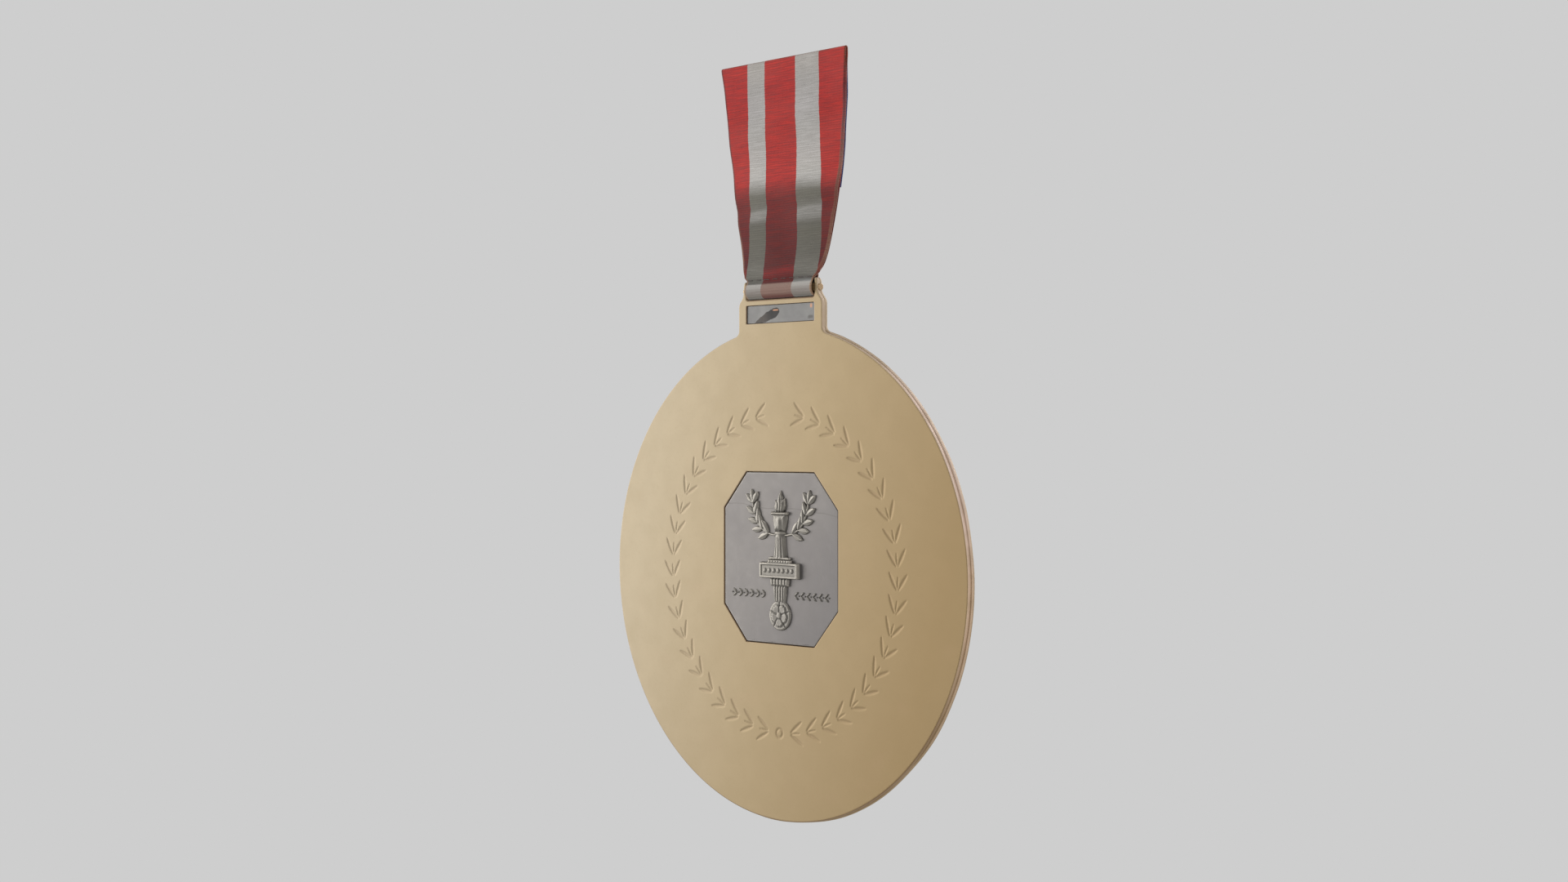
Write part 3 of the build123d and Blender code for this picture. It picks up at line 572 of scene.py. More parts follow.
# ------------------------------------------------------------------ the two plates
def outline(R, wave=None):
    """Disc with lug and ears, anticlockwise in x and height above the disc's centre."""
    def fil(r, x0):
        cx = x0 + r
        cz = math.sqrt((R + r) ** 2 - cx ** 2)
        return cx, cz
    r = 1.0
    cx, cz = fil(r, 8.4)
    a_disc = math.atan2(-cz, -cx)
    pts = []
    for a in np.linspace(2 * math.pi + a_disc, math.pi, 9):
        pts.append((cx + r * math.cos(a), cz + r * math.sin(a)))
    for z in np.linspace(35.2, 37.7, 6):
        pts.append((8.4, z))
    pts += [(8.395, 37.98), (8.36, 38.25), (8.28, 38.5), (8.15, 38.73), (7.98, 38.94), (7.80, 39.14), (7.64, 39.36),
            (7.54, 39.62), (7.48, 39.95), (7.45, 40.4), (7.44, 40.9), (7.38, 41.2), (7.27, 41.46), (7.14, 41.60),
            (7.04, 41.62), (6.95, 41.59), (6.88, 41.51), (6.86, 41.43), (6.85, 41.35)]
    for z in np.linspace(41.0, 39.35, 7):
        pts.append((6.85, z))
    pts += [(6.84, 39.20), (6.79, 39.09), (6.70, 39.02), (6.56, 39.0)]
    for x in np.linspace(6.2, 0.4, 14):
        pts.append((x, 39.0))
    left = [(-x, z) for x, z in reversed(pts)]
    pts = pts + left
    a0 = math.pi - math.atan2(cz, cx)
    a1 = 2 * math.pi + math.atan2(cz, cx)
    n = 480
    for i in range(1, n):
        a = a0 + (a1 - a0) * i / n
        rr = R
        if wave is not None:
            fade = min(1.0, i / 18.0, (n - i) / 18.0)
            rr = R + wave(math.degrees(a)) * fade
        pts.append((rr * math.cos(a), rr * math.sin(a)))
    return np.array(pts)


def normals2(P):
    t = np.roll(P, -1, axis=0) - np.roll(P, 1, axis=0)
    t /= np.linalg.norm(t, axis=1, keepdims=True)
    return np.stack([t[:, 1], -t[:, 0]], axis=1)


def rect_loop(w, z0, z1, r=0.18, n=5):
    pts = []
    for cx, cz, a0 in ((w - r, z1 - r, 0), (-w + r, z1 - r, 90), (-w + r, z0 + r, 180), (w - r, z0 + r, 270)):
        for k in range(n + 1):
            a = math.radians(a0 + 90 * k / n)
            pts.append((cx + r * math.cos(a), cz + r * math.sin(a)))
    return np.array(pts)


def oct_loop(grow=0.0):
    w, h = 11.4 + grow, 12.15 + grow
    cx, cz = 4.6 + grow * 0.45, 5.2 + grow * 0.45
    pts = [(w, h - cz), (w - cx, h), (-w + cx, h), (-w, h - cz), (-w, -h + cz), (-w + cx, -h), (w - cx, -h), (w, -h + cz)]
    out = []
    for i, p in enumerate(pts):
        q = pts[(i + 1) % 8]
        for k in range(10):
            out.append((p[0] + (q[0] - p[0]) * k / 10, 2.2 + p[1] + (q[1] - p[1]) * k / 10))
    return np.array(out)


class Builder:
    """Collects rings of points. Depths are given for a plate 0.75 mm thick and scaled to the real one."""

    def __init__(self, k=PLATE_T / 0.75):
        self.k = k
        self.v, self.f, self.flat, self.pat, self.edge = [], [], [], [], []

    def ring(self, P, y, pat=0.0, edge=0.0):
        i0 = len(self.v)
        ys = y if hasattr(y, "__len__") else [y] * len(P)
        ps = pat if hasattr(pat, "__len__") else [pat] * len(P)
        es = edge if hasattr(edge, "__len__") else [edge] * len(P)
        for (x, z), yy, pp, ee in zip(P, ys, ps, es):
            self.v.append((x, yy * self.k, z + DISC_Z))
            self.pat.append(pp)
            self.edge.append(ee)
        return list(range(i0, i0 + len(P)))

    def strip(self, a, b, flat=False, flip=False):
        n = len(a)
        for i in range(n):
            j = (i + 1) % n
            q = (a[i], a[j], b[j], b[i])
            self.f.append(q[::-1] if flip else q)
            self.flat.append(flat)

    def fill(self, loops):
        pts = [[Vector((self.v[i][0], self.v[i][2], 0.0)) for i in L] for L in loops]
        flatidx = [i for L in loops for i in L]
        for t in tessellate_polygon(pts):
            self.f.append(tuple(flatidx[k] for k in t))
            self.flat.append(True)


def wreath(x, z):
    """Depth, 0 to 1, of the struck wreath at points in x and height above the disc's centre."""
    out = np.zeros_like(x)
    L = 2.9

    def stroke(x0, z0, ang, length, width):
        ca, sa = math.cos(ang), math.sin(ang)
        near = (np.abs(x - x0) < length + 0.5) & (np.abs(z - z0) < length + 0.5)
        if not near.any():
            return
        dx, dz = x[near] - x0, z[near] - z0
        u = (dx * ca + dz * sa) / length
        v = -dx * sa + dz * ca
        half = width * np.clip(4 * u * (1 - u), 0, 1) ** 0.75 * 0.5
        ok = (u > 0) & (u < 1)
        d = np.where(ok, np.clip(1 - np.abs(v) / np.maximum(half, 1e-3), 0, 1), 0)
        out[near] = np.maximum(out[near], np.clip(d * 1.5, 0, 1))

    for side in (-1, 1):
        for i in range(21):
            at = 180 - side * (5.5 + i * 8.1)
            onward = 90 - at + (90 if side > 0 else -90)
            for o in (-1, 1):
                r = 22.6 + o * 0.10
                a = math.radians(at)
                stroke(r * math.sin(a), r * math.cos(a), math.radians(onward - side * o * 33.0), L, 0.62)
            a = math.radians(at)
            stroke(22.6 * math.sin(a), 22.6 * math.cos(a), math.radians(onward), 1.9, 0.34)
    d = np.hypot(x, z + 22.6)
    out = np.maximum(out, np.clip((0.85 - d) / 0.2, 0, 1) * np.clip((d - 0.35) / 0.2, 0, 1))
    return out


def front_plate():
    B = Builder()
    P = outline(FRONT_R)
    N = normals2(P)
    wob = waves(3, 7, 0.5, 3.0)
    th = np.arctan2(P[:, 1], P[:, 0])
    lugz = P[:, 1] > 34.0
    # rim profile: inset from the outline, depth, patina with painted shade at the seam, edge wear with painted
    # highlight
    w = 1 + 0.10 * np.where(lugz, 0.0, wob(th))
    prof = [(0.26, -0.75, 0.0, 0.0), (0.19, -0.748, 0.0, 0.0), (0.12, -0.738, 0.0, 0.0), (0.06, -0.70, 0.0, 0.4),
            (0.02, -0.63, 0.0, 0.9), (0.0, -0.53, 0.0, 1.0), (0.0, -0.20, 0.0, 1.0), (0.0, -0.07, 0.0, 0.85),
            (0.0, -0.03, 0.08, 0.5), (0.02, 0.0, 0.25, 0.0)]
    # painted shade darkens the lower part of the rim, where it faces down; the pale edge, wear with a painted
    # highlight, shows along the upper part
    low_rim_shade = [0.0, 0.06, 0.30, 0.55, 0.62, 0.50, 0.15, 0.0, 0.1, 0.2]
    low = np.clip((-P[:, 1] - 4.0) / 16.0, 0, 1)
    lug = np.clip((P[:, 1] - 24.0) / 8.0, 0, 1)
    # painted shade darkens the slot's edges under the ribbon's wrap, and the seam at the back near the lug
    inner = (np.abs(P[:, 0]) < 6.6) & (P[:, 1] > 38.9)
    slot_side = (np.abs(P[:, 0]) < 6.9) & (P[:, 1] > 38.9)
    rings = []
    for (d, y, p, e), f in zip(prof, low_rim_shade):
        pp = np.clip(p + f * low + (0.30 * lug if y > -0.05 else 0.0), 0, 1)
        pp = np.where(slot_side & (y > -0.749), np.maximum(pp, 0.25), pp)
        pp = np.where(inner & (y > -0.749), np.maximum(pp, 0.65), pp)
        rings.append(B.ring(P - N * (d * w)[:, None], y, pp, np.where(slot_side, 0.0, e * (1 - 0.8 * low) * (1 - 0.6 * lug))))
    for a, b in zip(rings[:-1], rings[1:]):
        B.strip(b, a, flip=True)
    # wreath zone, a fine polar grid between two circles
    r0, r1, nr, nt = 20.1, 25.1, 40, 1240
    rr = np.linspace(r0, r1, nr)
    tt = np.linspace(0, 2 * math.pi, nt, endpoint=False)
    T, Rr = np.meshgrid(tt, rr)
    X, Z = Rr * np.cos(T), Rr * np.sin(T)
    D = wreath(X, Z)
    prev = None
    rows = []
    for k in range(nr):
        pk = np.stack([X[k], Z[k]], axis=1)
        rows.append(B.ring(pk, -0.75 + 0.0875 * D[k], 0.15 * D[k] ** 0.8, 0.0))
    for a, b in zip(rows[:-1], rows[1:]):
        B.strip(a, b, flip=True)
    # plate around it
    # painted shade darkens the walls of the two windows, in the gaps round the plaque and the inlay
    O = [B.ring(oct_loop(g), y, p, e) for g, y, p, e in ((0.24, -0.75, 0.0, 0.0), (0.17, -0.748, 0.1, 0.1), (0.10, -0.72, 0.45, 0.0), (0.08, -0.63, 0.8, 0.0), (0.08, 0.0, 1.0, 0.0))]
    for a, b in zip(O[:-1], O[1:]):
        B.strip(a, b, flip=True)
    W = [B.ring(rect_loop(6.85 + g, 35.6 - g, 38.2 + g), y, p, e)
         for g, y, p, e in ((0.14, -0.75, 0.0, 0.0), (0.08, -0.748, 0.0, 0.1), (0.02, -0.72, 0.35, 0.1), (0.0, -0.62, 0.8, 0.0), (0.0, 0.0, 1.0, 0.0))]
    for a, b in zip(W[:-1], W[1:]):
        B.strip(a, b, flip=True)
    B.fill([rings[0], rows[-1], W[0]])
    B.fill([rows[0], O[0]])
    B.fill([rings[-1], O[-1], W[-1]])
    return B


def finish_plate(B, name, mat):
    ob = make(name, B.v, B.f, mat, smooth=[not x for x in B.flat], attrs={"patina": B.pat, "edge": B.edge})
    bm = bmesh.new()
    bm.from_mesh(ob.data)
    bmesh.ops.recalc_face_normals(bm, faces=bm.faces)
    if name != "plaque_plate":
        # the ears are filed thinner at the back
        low, high = (DISC_Z + 39.25) * MM, (DISC_Z + 40.0) * MM
        for h in (low, (low + high) / 2, high):
            bmesh.ops.bisect_plane(bm, geom=bm.verts[:] + bm.edges[:] + bm.faces[:], plane_co=(0, 0, h), plane_no=(0, 0, 1), dist=1e-7)
        for v in bm.verts:
            if v.co.z > low + 1e-6:
                k = min(1.0, (v.co.z - low) / (high - low))
                if v.co.y > 0:
                    v.co.y *= 1 - 0.25 * k * k * (3 - 2 * k)
    bm.to_mesh(ob.data)
    bm.free()
    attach(ob, "medal")
    return ob


front = finish_plate(front_plate(), "front_plate_struck", GILT)
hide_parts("front_plate")


def back_plate():
    B = Builder()
    lump = waves(11, 9, 0.008, 0.055)

    def wave(deg):
        return float(np.clip(0.11 * lump(deg), -0.16, 0.05))
    P = outline(BACK_R, wave)
    N = normals2(P)
    # painted shade darkens the ledge beside the front plate and the back edge
    prof = [(0.40, 0.0, 0.4, 0.0), (0.31, 0.0, 0.22, 0.0), (0.28, 0.0, 0.04, 0.4), (0.09, 0.01, 0.0, 0.75), (0.02, 0.07, 0.0, 0.85),
            (0.0, 0.16, 0.0, 0.75), (0.0, 0.40, 0.05, 0.45), (0.03, 0.58, 0.25, 0.10), (0.10, 0.69, 0.40, 0.0),
            (0.18, 0.735, 0.4, 0.0), (0.25, 0.748, 0.1, 0.0), (0.33, 0.75, 0.0, 0.0)]
    # the ledge's painted shade fades on the upper part, and the pale edge, wear with a painted highlight, fades on the
    # lower part
    high = np.clip((P[:, 1] + 5.0) / 15.0, 0, 1)
    low = np.clip((-P[:, 1] - 12.0) / 16.0, 0, 1)
    lug = np.clip((P[:, 1] - 24.0) / 8.0, 0, 1)
    rings = [B.ring(P - N * d, y, p * (1 - 0.7 * high if y < 0.01 else 1.0), e * (1 - 0.7 * low) * (1 - 0.6 * lug)) for d, y, p, e in prof]
    for a, b in zip(rings[:-1], rings[1:]):
        B.strip(a, b)
    # countersunk stud holes, open to the back, closed at the front face by the front plate
    studs = [(29.5 * math.sin(math.radians(a)), 29.5 * math.cos(math.radians(a))) for a in (30, 90, 150, 210, 270, 330)]
    studs += [(sx * 7.2, 2.2 + sz * 7.6) for sx in (-1, 1) for sz in (-1, 1)]
    studs += [(-4.6, 36.9), (4.6, 36.9)]
    tops, lows = [], []
    for sx, sz in studs:
        loops = []
        # painted shade darkens each hole towards its depth
        for r, y, p in ((0.98, 0.75, 0.0), (0.93, 0.748, 0.3), (0.90, 0.735, 0.6), (0.62, 0.45, 0.8), (0.62, 0.0, 1.0)):
            L = np.array([(sx + r * math.cos(a), sz + r * math.sin(a)) for a in np.linspace(0, 2 * math.pi, 28, endpoint=False)])
            loops.append(B.ring(L, y, p, 0.0))
        for a, b in zip(loops[:-1], loops[1:]):
            B.strip(a, b)
        tops.append(loops[0])
        lows.append(loops[-1])
    B.fill([rings[-1]] + tops)
    B.fill([rings[0]] + lows)
    return B


back = finish_plate(back_plate(), "back_plate_cast", GILT_BACK)
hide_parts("back_plate")


# ------------------------------------------------------------------ plaque
def plaque():
    B = Builder(-PLAQUE_FACE / 0.65)
    # painted shade darkens the plaque's edge walls, in the gap round it
    rings = [B.ring(oct_loop(g), y, p, e) for g, y, p, e in
             ((0.0, 0.0, 1.0, 0.0), (0.0, -0.50, 0.95, 0.0), (-0.02, -0.58, 0.55, 0.2), (-0.08, -0.635, 0.25, 0.5),
              (-0.15, -0.648, 0.0, 0.2), (-0.22, -0.65, 0.0, 0.0))]
    for a, b in zip(rings[:-1], rings[1:]):
        B.strip(a, b)
    B.fill([rings[-1]])
    B.fill([rings[0]])
    return B


pl = finish_plate(plaque(), "plaque_plate", SILVER)
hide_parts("plaque")


# ------------------------------------------------------------------ relief of the plaque
def poly_sd(x, z, pts):
    """Signed distance to a polygon, negative inside."""
    pts = np.array(pts, float)
    d = np.full(x.shape, 1e9)
    inside = np.zeros(x.shape, bool)
    n = len(pts)
    for i in range(n):
        a, b = pts[i], pts[(i + 1) % n]
        ex, ez = b - a
        wx, wz = x - a[0], z - a[1]
        t = np.clip((wx * ex + wz * ez) / (ex * ex + ez * ez), 0, 1)
        d = np.minimum(d, np.hypot(wx - ex * t, wz - ez * t))
        cond = ((a[1] > z) != (b[1] > z)) & (x < (b[0] - a[0]) * (z - a[1]) / (b[1] - a[1] + 1e-12) + a[0])
        inside ^= cond
    return np.where(inside, -d, d)


def dome(d, w, h, slope=3.0):
    """Height of a rounded form from its signed distance."""
    t = np.clip(-d / w, 0, 1)
    return np.where(d < 0, h * np.sqrt(np.clip(1 - (1 - t) ** 2, 0, 1)), -d * slope)


def mirror(pts):
    return [(-x, z) for x, z in reversed(pts)]


def spray_leaves():
    """Root, direction and length of each leaf of the right-hand laurel spray, and points of its stem."""
    p0, p1, p2 = np.array([0.7, 3.25]), np.array([4.9, 3.3]), np.array([5.55, 7.7])
    stem, leaves = [], []
    for t in np.linspace(0, 1, 15):
        stem.append((1 - t) ** 2 * p0 + 2 * t * (1 - t) * p1 + t * t * p2)
    for i in range(5):
        t = 0.22 + 0.78 * i / 4.0
        p = (1 - t) ** 2 * p0 + 2 * t * (1 - t) * p1 + t * t * p2
        d = 2 * (1 - t) * (p1 - p0) + 2 * t * (p2 - p1)
        a = math.degrees(math.atan2(d[1], d[0]))
        size = 2.35 - 0.40 * t
        for side in (-1, 1):
            leaves.append((p[0], p[1], a + side * 38.0, size))
    leaves.append((p2[0], p2[1], math.degrees(math.atan2(4.4, 0.65)), 2.05))
    return stem, leaves


SPRAY = spray_leaves()


def spray(x, z):
    """Height of the right-hand laurel spray: a stem with pairs of ribbed, pointed leaves."""
    H = np.full(x.shape, -1.0)
    stem, leaves = SPRAY
    d = np.full(x.shape, 9.0)
    for a, b in zip(stem[:-1], stem[1:]):
        e = b - a
        t = np.clip(((x - a[0]) * e[0] + (z - a[1]) * e[1]) / (e @ e), 0, 1)
        d = np.minimum(d, np.hypot(x - a[0] - e[0] * t, z - a[1] - e[1] * t))
    H = np.maximum(H, dome(d - 0.17, 0.17, 0.36))
    for k, (lx, lz, ang, size) in enumerate(leaves):
        ca, sa = math.cos(math.radians(ang)), math.sin(math.radians(ang))
        dx, dz = x - lx, z - lz
        u = (dx * ca + dz * sa) / size
        v = -dx * sa + dz * ca
        half = 0.49 * np.clip(4 * u * (1 - u), 0, 1) ** 0.85
        ok = (u > 0) & (u < 1)
        d = np.where(ok, np.abs(v) - half, 0.5)
        ridge = np.where(ok, np.clip(1 - np.abs(v) / np.maximum(half, 1e-3), 0, 1), 0)
        h = np.where(d < 0, (0.24 + 0.07 * (k % 2)) * np.clip(-d / 0.07, 0, 1) + 0.20 * ridge, -d * 3.0)
        H = np.maximum(H, h)
    return H


EMBLEM_X = 0.15
RELIEF = 0.65


def emblem_height(x, z):
    """Height of the applied relief, which sits a little to the right of the plaque's middle."""
    H = torch_height(x - EMBLEM_X, z)
    return np.where(H > 0, H * RELIEF, H)


def torch_height(x, z):
    H = np.full(x.shape, -1.0)
    ax = np.abs(x)
    for sx in (1, -1):
        H = np.maximum(H, spray(sx * x, z))
    # flame, in three tongues
    flame = poly_sd(x, z, [(0.16, 9.62), (0.30, 9.15), (0.52, 8.75), (0.60, 8.35), (0.95, 8.55), (1.02, 8.0), (1.12, 7.45), (0.98, 6.9), (0.7, 6.4),
                           (-0.7, 6.4), (-1.0, 6.85), (-1.12, 7.35), (-0.92, 7.75), (-1.0, 8.25), (-0.62, 8.15), (-0.42, 8.6), (-0.16, 9.1)])
    hf = dome(flame, 0.6, 0.76)
    for amp, off, fr in ((0.13, 0.22, 1.9), (0.12, -0.30, 2.3), (0.08, 0.62, 2.1), (0.07, -0.70, 1.7)):
        xc = off + 0.14 * np.sin((z - 6.8) * fr)
        hf = hf - np.where(flame < -0.05, amp * np.exp(-((x - xc) / 0.09) ** 2), 0)
    H = np.maximum(H, hf)
    # bowl
    bowl = poly_sd(x, z, [(1.46, 6.4), (1.50, 6.1), (1.44, 5.4), (1.26, 4.5), (1.02, 3.75), (-1.02, 3.75), (-1.26, 4.5),
                          (-1.44, 5.4), (-1.50, 6.1), (-1.46, 6.4)])
    hb = dome(bowl, 1.25, 0.84)
    ang = np.arcsin(np.clip(x / 1.6, -1, 1))
    lobes = np.cos(ang * 9.0)
    hb = hb + np.where(bowl < -0.12, 0.055 * lobes * np.clip((5.9 - z) / 0.5, 0, 1), 0)
    H = np.maximum(H, hb)
    lip = np.maximum(ax - 1.62, np.abs(z - 6.34) - 0.24)
    H = np.maximum(H, dome(lip, 0.22, 0.92))
    knop = np.hypot(x / 1.22, (z - 3.55) / 0.34) - 1.0
    H = np.maximum(H, dome(knop * 0.34, 0.3, 0.86))
    # fluted handle, flaring to the foot
    w = np.interp(z, [0.1, 0.6, 1.6, 3.4], [1.52, 1.36, 1.14, 0.98])
    d = np.maximum(ax - w, np.maximum(0.05 - z, z - 3.4))
    hh = 0.80 * np.sqrt(np.clip(1 - (x / w) ** 2, 0, 1)) * np.clip((w - ax) / 0.05, 0, 1)
    hh = np.where(d < 0, hh - 0.10 * np.clip(np.cos(ax / w * math.pi * 4.5), 0, 1) * np.clip((3.1 - z) / 0.3, 0, 1), -d * 3)
    H = np.maximum(H, hh)
    # stepped foot
    H = np.maximum(H, dome(np.maximum(ax - 2.05, np.abs(z + 0.02) - 0.19), 0.10, 0.74))
    foot = dome(np.maximum(ax - 2.34, np.abs(z + 0.46) - 0.24), 0.10, 0.88)
    foot = foot - np.where((ax < 2.2) & (np.abs(z + 0.46) < 0.12), 0.10 * (np.cos(x * 2 * math.pi / 0.52) > 0.35), 0)
    H = np.maximum(H, foot)
    # tablet with a plain framed field and a row of beads
    d = np.maximum(ax - 3.82, np.abs(z + 1.75) - 1.13)
    tab = dome(d, 0.13, 0.96)
    din = np.maximum(ax - 3.45, np.abs(z + 1.75) - 0.80)
    tab = tab - np.where(din < 0, 0.13 * np.clip(-din / 0.10, 0, 1), 0)
    bx = (x + 0.45) / 0.90
    kx = bx - np.floor(bx) - 0.5
    bead = np.hypot(kx * 0.90, z + 1.75)
    tab = tab + np.where((ax < 3.15) & (bead < 0.33), 0.20 * np.sqrt(np.clip(1 - (bead / 0.33) ** 2, 0, 1)), 0)
    H = np.maximum(H, tab)
    # bracket: fluted and tapering, in two tiers
    d1 = poly_sd(x, z, [(-1.95, -2.8), (1.95, -2.8), (1.75, -4.0), (-1.75, -4.0)][::-1])
    h1 = dome(d1, 0.35, 0.66) - np.where(d1 < -0.05, 0.12 * np.clip(np.cos(x * 2 * math.pi / 0.62), 0, 1), 0)
    d2 = poly_sd(x, z, [(-1.48, -3.8), (1.48, -3.8), (1.28, -5.2), (1.05, -6.4), (-1.05, -6.4), (-1.28, -5.2)][::-1])
    h2 = dome(d2, 0.5, 0.54) - np.where(d2 < -0.05, 0.14 * np.clip(np.cos(x * 2 * math.pi / 0.52 + math.pi), 0, 1), 0)
    H = np.maximum(H, np.maximum(h1, h2))
    # rosette: a five-petalled flower on a plain round boss
    ro = np.hypot(x, z + 8.1)
    ta = np.arctan2(x, z + 8.1)
    disc = dome(ro - 2.16, 0.25, 0.42)
    k = (ta / (2 * math.pi / 5)) % 1.0 - 0.5
    reach = 1.72 - 1.2 * np.abs(k) ** 1.6 - 0.14 * np.exp(-(k / 0.05) ** 2)
    pet = np.clip((reach - ro) / 0.22, 0, 1)
    cup = 0.20 * np.sqrt(pet) * (0.55 + 0.45 * np.clip(ro / 1.3, 0, 1))
    seam = 0.12 * np.exp(-((0.5 - np.abs(k)) * ro * 1.257 / 0.09) ** 2) * (ro > 0.45)
    boss = np.where(ro < 0.5, 0.20 * np.sqrt(np.clip(1 - (ro / 0.5) ** 2, 0, 1)) + 0.02 * np.cos(x * 38) * np.cos(z * 38), 0)
    H = np.maximum(H, np.where(ro < 2.16, disc + cup - seam + boss, disc))
    return H


def heightfield(name, x0, x1, z0, z1, step, func, face_y, mat, replaces=(), patina_gain=1.0, base=0.1):
    xs = np.arange(x0, x1 + step / 2, step)
    zs = np.arange(z0, z1 + step / 2, step)
    X, Z = np.meshgrid(xs, zs)
    H = func(X, Z)
    low = -0.06
    Hc = np.maximum(H, low)
    keep = (np.maximum.reduce([H[:-1, :-1], H[1:, :-1], H[:-1, 1:], H[1:, 1:]]) > low)
    used = np.zeros(H.shape, bool)
    used[:-1, :-1] |= keep
    used[1:, :-1] |= keep
    used[:-1, 1:] |= keep
    used[1:, 1:] |= keep
    ids = -np.ones(H.shape, int)
    ids[used] = np.arange(used.sum())
    n = int(used.sum())
    vx, vz, vh = X[used], Z[used], Hc[used]
    top = np.stack([vx, face_y - vh, vz + PLAQUE_Z], axis=1)
    bot = np.stack([vx, np.full(n, face_y + base), vz + PLAQUE_Z], axis=1)
    I, J = np.where(keep)
    a, b, c, d = ids[I, J], ids[I, J + 1], ids[I + 1, J + 1], ids[I + 1, J]
    faces = np.stack([a, b, c, d], axis=1)
    fl = faces.tolist() + (faces[:, ::-1] + n).tolist()
    # walls
    edge_count = {}
    for q in faces.tolist():
        for e in ((q[0], q[1]), (q[1], q[2]), (q[2], q[3]), (q[3], q[0])):
            key = (min(e), max(e))
            if key in edge_count:
                edge_count[key] = None
            else:
                edge_count[key] = e
    for e in edge_count.values():
        if e is not None:
            fl.append((e[1], e[0], e[0] + n, e[1] + n))
    # patina gathers in the hollows, wear shows on the crests; painted shade darkens the foot of the relief where it
    # meets the plaque
    k = 5
    pad = np.pad(Hc, k, mode="edge")
    blur = np.zeros_like(Hc)
    cnt = 0
    for i in range(0, 2 * k + 1, 2):
        for j in range(0, 2 * k + 1, 2):
            blur += pad[i:i + Hc.shape[0], j:j + Hc.shape[1]]
            cnt += 1
    blur /= cnt
    hollow = np.clip((blur - Hc) / 0.16, 0, 1) * patina_gain
    crest = np.clip((Hc - blur) / 0.14, 0, 1)
    foot_shade = np.clip((0.10 - Hc) / 0.16, 0, 1) * 0.5
    pat = np.clip(np.maximum(hollow, foot_shade), 0, 1)[used]
    edg = (crest * (Hc > 0.15))[used]
    verts = np.concatenate([top, bot])
    ob = make(name, verts, fl, mat, "medal",
              attrs={"patina": np.concatenate([pat, np.ones(n)]), "edge": np.concatenate([edg, np.zeros(n)])})
    if replaces:
        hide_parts(*replaces)
    return ob


STEP = 0.055
emblem = heightfield("emblem_torch_and_laurel", -7.3, 7.3, -10.5, 9.8, STEP, emblem_height, PLAQUE_FACE, SILVER_RELIEF,
                     ("emblem", "emblem_posts"))


def band_height(x, z):
    """A low band of small leaves and beads on each side of the bracket."""
    ax = np.abs(x)
    zz = z + 5.2
    H = np.full(x.shape, -1.0)
    pitch = 1.18
    for i in range(6):
        c = 2.95 + i * pitch
        for o in (-1, 1):
            ang = math.radians(38 * o)
            dx, dz = ax - c, zz
            u = (dx * math.cos(ang) + dz * math.sin(ang)) / 0.92
            v = -dx * math.sin(ang) + dz * math.cos(ang)
            half = 0.17 * np.clip(4 * u * (1 - u), 0, 1) ** 0.7
            d = np.where((u > 0) & (u < 1), np.abs(v) - half, 0.5)
            H = np.maximum(H, dome(d, 0.15, 0.15, 2.0))
        bd = np.hypot(ax - c - 0.86, zz) - 0.12
        H = np.maximum(H, dome(bd, 0.12, 0.16, 2.0))
    return H


for side, tag in ((-1, "left"), (1, "right")):
    x0, x1 = sorted((side * 2.5, side * 10.2))
    heightfield("plaque_band_" + tag, x0, x1, -6.1, -4.3, 0.05, band_height, PLAQUE_FACE, SILVER_RELIEF,
                patina_gain=0.45)


# ------------------------------------------------------------------ ribbon
HALF = 0.11
FOLD_R = 0.13
LEFT = [(0, 12.5), (-3, 11.9), (-7, 11.35), (-13, 10.95), (-16, 10.6), (-19, 10.05), (-22, 9.7), (-25, 8.95), (-28, 8.2), (-30, 7.6),
        (-30.75, 7.2), (-31.15, 6.76), (-31.6, 6.66), (-33, 6.66)]
RIGHT = [(0, 12.6), (-7, 12.15), (-13, 11.5), (-16, 10.95), (-19, 10.3), (-22, 9.65), (-25, 9.05), (-28, 8.5), (-30, 7.9), (-30.75, 7.35), (-31.15, 6.76),
         (-31.6, 6.66), (-33, 6.66)]
SHIFT = [(0, 0.0), (-8, 0.0), (-11.4, 0.05), (-16.4, 0.33), (-21.4, 0.50), (-26.8, 0.33), (-30, 0.18), (-31.3, 0.0), (-33, 0.0)]
ARCH = [(0, 0.0), (-3, 0.05), (-7, 0.15), (-13, 0.28), (-19, 0.34), (-25, 0.25), (-29, 0.1), (-31, 0.0), (-33, 0.0)]
FRONT_Y = [(0, -0.21), (-7, -0.16), (-13, -0.10), (-16, -0.18), (-18.3, -0.42), (-19.6, -0.46), (-20.6, -0.22), (-21.6, -0.16),
           (-22.6, -0.38), (-23.6, -0.30), (-26, -0.22), (-28.5, -0.42), (-30.3, -0.66), (-31.2, -0.50)]
BACK_Y = [(0, 0.21), (-19.0, 0.21), (-22, 0.24), (-25, 0.26), (-28, 0.14), (-30.3, -0.10), (-31.4, -0.20)]


